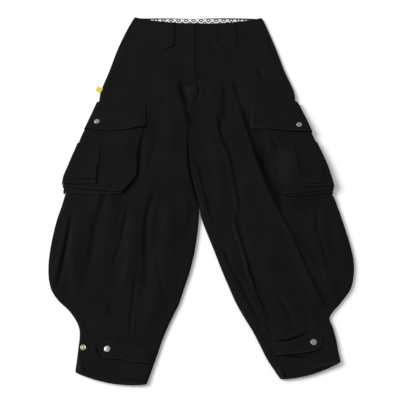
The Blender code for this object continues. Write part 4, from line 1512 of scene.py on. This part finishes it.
@dataclass
class Waist:
    """The printed facing, the fly, the belt loops and the small label of the waist."""

    cloth: Material
    facing_rows: Rows = ((-166, 444, 148, 444), (-166, 471, 150, 469), (-158, 495.6, 144, 494.4, 3))
    fly_rows: Rows = ((-14, 479, 25, 477), (-14, 420, 25, 420), (-14, 352, 23, 352),
                      (-13, 312, 11, 312), (-11, 292, -5, 292))
    loop_rows: dict[Side, Rows] = field(default_factory=lambda: {
        Side.RIGHT: ((-123, 484, -75, 479), (-123, 440, -75, 440), (-122, 405, -76, 405),
                     (-112, 396, -87, 396), (-101, 387, -97, 387)),
        Side.LEFT: ((51, 476, 98, 484), (51, 440, 98, 440), (52, 404, 97, 402), (63, 394, 87, 393),
                    (74, 385, 78, 385))})
    label_rows: Rows = ((-272, 267, -259, 259), (-278, 254, -265, 246))
    fly_stitches: tuple[float, ...] = (2.5, 8.0)
    point_stitches: tuple[float, ...] = (20.0, 24.0)

    def build_facing(self, ground: Ground, material: Material) -> None:
        """The facing of printed cotton inside the back of the waist."""
        facing = Patch("waist_facing", self.facing_rows, THIN_CLOTH, reach=3, rows=20, columns=150,
                       wave=0.2, rim_wear=0.0)
        piece = facing.build(ground, material, wall=np.full(facing.lay_out()[0].shape, THIN_CLOTH))
        finish_piece(piece, facing.name)

    def build_fly(self, ground: Ground, sewing: Sewing) -> None:
        """The fly's cover, open along the centre and sewn in a curve beside it."""
        # Painted shade on the fly's rims and inner edge
        fly = Patch("fly_placket", self.fly_rows, THIN_CLOTH, reach=5, lift=0.2, rows=80, columns=18,
                    hems=(Edge.INNER,), wave=0.15, near=(0.0, 0.7, 1.4, 2.1, 3.0, 4.6, 6.3),
                    rim_wear=-1.0, edge_wear=-1.0)
        distances = fly.lay_out()[2]
        edge = np.minimum(distances[Edge.OUTER], distances[Edge.LAST])
        wall = THIN_CLOTH * (0.2 + 0.8 * ease(edge / 16)) + 0.5 * bell(distances[Edge.INNER], 3)
        rise = 1.1 * bell(distances[Edge.INNER], 8) * ease(distances[Edge.LAST] / 40)
        tree = fly.settle(fly.build(ground, self.cloth, rise, wall), ground, Cut(0.04, 0.187), "front_left")
        fly.sew(sewing, tree, Edge.OUTER, 4, 6, self.fly_stitches, 0.15)
        fly.sew(sewing, tree, Edge.INNER, 4, 40, STITCH_ROWS[:1], 0.4)

    def build_loop(self, side: Side, ground: Ground, sewing: Sewing) -> None:
        """A wide belt loop with a pointed end, on the front of a side."""
        # Painted shade on the loop's rims and edges
        loop = Patch(f"belt_loop_{side.value}", self.loop_rows[side], lift=0.15, rows=44, columns=20,
                     hems=(Edge.INNER, Edge.OUTER, Edge.LAST), wave=0.2, rim_wear=-1.0, edge_wear=-0.9)
        distances = loop.lay_out()[2]
        clear, faint = (Edge.OUTER, Edge.INNER) if side is Side.RIGHT else (Edge.INNER, Edge.OUTER)
        rise = 1.0 * ease(distances[Edge.FIRST] / 14) * ease((distances[Edge.LAST] - 16) / 18)
        wall = hemmed(CLOTH, distances[clear], 0.2) * (0.3 + 0.7 * ease(distances[faint] / 7))
        wall = wall * (0.35 + 0.65 * ease(distances[Edge.LAST] / 7))
        piece = loop.build(ground, self.cloth, rise, wall)
        tree = loop.settle(piece, ground, Cut(0.048, 0.095, 0.0043), f"front_{side.value}")
        for edge in (Edge.INNER, Edge.OUTER):
            loop.sew(sewing, tree, edge, 4, 22, tall=0.6)
        loop.sew(sewing, tree, Edge.LAST, 4, 4, self.point_stitches, 0.6)

    def build_label(self, ground: Ground, material: Material) -> None:
        """The small woven tab in the side seam, left bare."""
        label = Patch("side_label", self.label_rows, THIN_CLOTH, reach=2, lift=0.2, rows=6, columns=6,
                      near=(0.0, 0.8, 1.6))
        x, y, _ = label.lay_out()
        low = np.full(x.shape, label.lower_face(ground, x, y).max())
        wall = np.full(x.shape, THIN_CLOTH)
        piece = cloth_wall(label.name + CLOTH_WORD, np.stack([x, y, low], -1), wall, material,
                           np.zeros(x.shape), 1.0)
        finish_piece(piece, label.name)


@dataclass
class Cuff:
    """The strap of one leg's cuff."""

    side: Side
    cloth: Material
    rows: Rows
    patch: Path | None = None

    def build(self, ground: Ground, sewing: Sewing) -> BVHTree:
        """Lay the strap on the cuff and return its tree, for its snap."""
        # The strap's hemmed edges are pale, worn and with a painted highlight
        strap = Patch(f"strap_{self.side.value}", self.rows, STRAP_CLOTH, rows=78, columns=12,
                      hems=(Edge.INNER, Edge.OUTER, Edge.LAST), edge_wear=1.3, rim_wear=0.2)
        distances = strap.lay_out()[2]
        sag = 0.5 * (1 + np.sin(distances[Edge.FIRST] / 13.0))
        rise = (0.8 + sag) * ease(distances[Edge.FIRST] / 20) * ease((distances[Edge.LAST] - 12) / 30)
        if self.side is Side.LEFT:
            rise = rise + 1.2 * ease((distances[Edge.INNER] - 10) / 16) * ease(distances[Edge.LAST] / 40)
        wall = hemmed(STRAP_CLOTH, strap.nearest(distances, strap.hems))
        wall = wall * (0.3 + 0.7 * ease(distances[Edge.FIRST] / 12))
        piece = strap.build(ground, self.cloth, rise, wall)
        tree = strap.settle(piece, ground, Cut(0.03, 0.13, 0.0036), f"front_{self.side.value}")
        for edge in (Edge.INNER, Edge.OUTER):
            strap.sew(sewing, tree, edge, 12, 3, STITCH_ROWS[:1])
        if self.patch:
            sewing.row(self.patch, tree, 1.6)
        return tree


@dataclass
class Studio:
    """The floor, the soft light and the camera."""

    lens: float = 59.4
    camera_place: tuple[float, float, float] = (-0.003, -0.7435, 1.466)
    camera_tilt: float = 25.0
    world: float = 0.58
    key_power: float = 440.0
    key_place: tuple[float, float, float] = (-4.9, 1.1, 3.9)
    key_size: float = 2.9
    floor_half: float = 4000.0

    def build(self) -> None:
        """Set up the floor, the lights and the camera."""
        corners = self.floor_half * np.array([(-1, -1, 0), (1, -1, 0), (1, 1, 0), (-1, 1, 0)])
        floor = mesh_piece("floor", corners, [(0, 1, 2, 3)], FloorFinish().build("pale_floor"))
        scene = bpy.context.scene
        scene.view_settings.view_transform = "Standard"
        world = bpy.data.worlds.new("soft_dome")
        scene.world = world
        world.use_nodes = True
        dome = world.node_tree.nodes["Background"].inputs
        dome["Color"].default_value = (1, 1, 1, 1)
        dome["Strength"].default_value = self.world
        light = bpy.data.lights.new("key", "AREA")
        light.energy = self.key_power
        light.size = self.key_size
        key = bpy.data.objects.new("key", light)
        key.location = self.key_place
        key.rotation_euler = (-Vector(self.key_place)).to_track_quat("-Z", "Y").to_euler()
        scene.collection.objects.link(key)
        camera_data = bpy.data.cameras.new("camera")
        camera_data.lens = self.lens
        camera_data.sensor_width = 36.0
        camera = bpy.data.objects.new("camera", camera_data)
        camera.location = self.camera_place
        camera.rotation_euler = (math.radians(self.camera_tilt), 0, 0)
        scene.collection.objects.link(camera)
        scene.camera = camera


STRAPS: dict[Side, Rows] = {
    Side.RIGHT: ((-104, -427, -107, -457), (-128, -428, -129, -456), (-153, -427, -154, -454),
                 (-179, -419, -179, -448), (-206, -408, -212, -446), (-226, -418, -227, -425)),
    Side.LEFT: ((150, -413, 160, -440), (187, -413, 188, -438), (214, -405, 217, -436),
                (244, -394, 248, -430), (267, -405, 266, -420)),
}
# Stitches of the small sewn patch on the right strap
PATCH_OUTLINE: Path = (
    (-124, -432), (-170, -427), (-173, -430), (-173, -442), (-170, -445), (-124, -448), (-121, -445),
    (-121, -435), (-124, -432),
)


def cargo_pockets(cloth: Material) -> tuple[CargoPocket, CargoPocket]:
    """The two cargo pockets with their own sizes.

    Args:
        cloth: The twill.

    Returns:
        The right pocket and the left one.
    """
    right = CargoPocket(
        Side.RIGHT, cloth,
        body_rows=((-193, -43, -340.8, -27, -2), (-165, -5, -338, 0), (-161, 20, -332.5, 20),
                   (-162, 71, -318, 71), (-152, 122, -303, 122), (-150, 145, -293, 145),
                   (-148, 205, -274, 205)),
        gusset_rows=((-194, -47, -338, -44, -4), (-186, -32, -338, -30), (-178, -14, -337, -14)),
        pleat_rows=((-258, -24, -343.4, -22), (-257, 4, -341, 2), (-256, 32, -333, 30),
                    (-254, 94, -315.5, 92)),
        pen_rows=((-259, -12, -311, -10), (-258.5, 31, -308, 31.5)),
        flap_rows=((-144, 145, -299.5, 137, -13), (-145, 165, -292, 160, -4), (-147, 209, -274, 217, 1)),
        creases=(
            Crease(((-244, 84), (-240, 40), (-234, -8)), 0.9, 7, 0.6, 10),
            Crease(((-204, -14), (-214, -26), (-226, -36)), 1.0, 4, 0.6, 6),
            Crease(((-188, 60), (-184, 20), (-196, -20)), 0.7, 8, 0.6, 12),
            ridge(((-236, -6), (-229, -24), (-220, -40)), 1.8, 4),
            ridge(((-214, -20), (-206, -32), (-198, -42)), 1.2, 4),
        ),
    )
    left = CargoPocket(
        Side.LEFT, cloth,
        body_rows=((200, -52, 325, -35), (174, -13, 322, -8), (162, 20, 316, 20), (153, 71, 301, 71),
                   (143, 122, 283, 122), (140, 145, 274, 145), (137, 200, 256, 200)),
        gusset_rows=((210, -56, 323, -45), (194, -36, 322, -32), (184, -20, 321, -18)),
        pleat_rows=((250, -30, 328, -29), (245, 30, 318, 24), (233, 98, 296, 94)),
        pen_rows=((254, -24, 303, -24), (251.5, 19, 299, 21)),
        flap_rows=((127, 136, 284, 126, -5), (129, 162, 275, 158, -2), (131, 201, 254, 217, 4)),
        bulge=(218, 24, 27, 42, 7.0),
        # Creases of the pocket; their tone paints shade along them
        creases=(
            Crease(((168, 134), (178, 110), (188, 84), (195, 58)), 2.2, 4.5, 1.2, 8, tone=0.5),
            Crease(((184, 50), (186, 20), (190, -8), (204, -46)), 1.4, 5, 0.8, 8, tone=0.4),
            Crease(((228, 110), (238, 77), (243, 50), (247, 9), (248, -28)), 1.2, 3, 0.6, 6, tone=0.5),
            Crease(((146, 116), (156, 70), (161, 30), (172, -14), (194, -46)), 0.8, 7, tone=0.5),
        ),
        gape=1.2,
        ripple=(-0.3, 1.0),
        flap_wave=(186, 34, 4.2),
        inner_stitches=0.1,
        pen_stitches=(0.1, 0.05),
        # Little painted highlight on the left gusset's edge, so that it looks shaded
        gusset_edge_wear_and_painted_light=0.4,
    )
    return right, left


def main() -> None:
    """Build the garment from the surface upwards, then the studio around it."""
    logging.basicConfig(level=logging.INFO, format="%(name)s: %(message)s")
    cloth = TwillFinish().build(TWILL)
    thread = ThreadFinish().build("black_thread")
    nickel = MetalFinish((0.4, 0.37, 0.37), (0.22, 0.19, 0.19)).build("snap_nickel")
    brass = MetalFinish((0.46, 0.4, 0.32), (0.2, 0.16, 0.1)).build("stud_brass")
    Studio().build()
    sewing, ground, fronts = Sewing(), Ground(), {}
    legs = {side: Leg(side, cloth) for side in Side}
    backs = Ground()
    for leg in legs.values():
        backs.add(leg.build(Layer.BACK))
    waist = Waist(cloth)
    waist.build_facing(backs, FacingFinish().build("facing_print"))
    for side, leg in legs.items():
        fronts[side] = ground.add(leg.build(Layer.FRONT))
    edge_rows(legs, fronts, sewing)
    sewing.build("stitching_legs", thread)
    caps = {}
    for pocket in cargo_pockets(cloth):
        caps["flap", pocket.side] = pocket.build(ground, sewing)
        sewing.build(f"stitching_pocket_{pocket.side.value}", thread)
    waist.build_fly(ground, sewing)
    for side in Side:
        waist.build_loop(side, ground, sewing)
    waist.build_label(ground, TapeFinish().build("label_tape"))
    sewing.build("stitching_waist", thread)
    cuffs = (
        Cuff(Side.RIGHT, cloth, STRAPS[Side.RIGHT], PATCH_OUTLINE),
        Cuff(Side.LEFT, cloth, STRAPS[Side.LEFT]),
    )
    for cuff in cuffs:
        caps["strap", cuff.side] = cuff.build(ground, sewing)
    sewing.build("stitching_cuffs", thread)
    snaps = (
        (Snap("flap_snap_right", (-267, 154), CAP_PROFILE), caps["flap", Side.RIGHT], nickel),
        (Snap("flap_snap_left", (250.5, 143.5), CAP_PROFILE), caps["flap", Side.LEFT], nickel),
        (Snap("strap_snap_right", (-207, -427), CAP_PROFILE), caps["strap", Side.RIGHT], nickel),
        (Snap("strap_snap_left", (248, -412), CAP_PROFILE), caps["strap", Side.LEFT], nickel),
        (Snap("cuff_stud_right", (-260.5, -423), STUD_PROFILE), fronts[Side.RIGHT], brass),
    )
    for snap, carrier, metal in snaps:
        snap.build(carrier, metal)


def edge_rows(legs: dict[Side, Leg], fronts: dict[Side, BVHTree], sewing: Sewing) -> None:
    """Sew the waist, the hems and the pocket mouths of the fronts."""
    for side, leg in legs.items():
        x, y, _, _, from_waist, from_hem = leg.spread(Layer.FRONT)
        for distance, target, way in ((from_waist, WAIST_STITCH, 1), (from_hem, HEM_STITCH, -1)):
            path = [[np.interp(target, distance[::way, c], values[::way, c]) for values in (x, y)]
                    for c in range(3, x.shape[1] - 3)]
            sewing.row(np.array(path), fronts[side])
        mouth = np.array(POCKET_MOUTHS[side].path, float)
        points = curve_through(mouth, np.linspace(0, len(mouth) - 1, 60))
        for shift in MOUTH_STITCHES:
            sewing.row(points[6:-3] - np.array([side.out * shift, 0.0]), fronts[side])


if __name__ == "__main__":
    main()
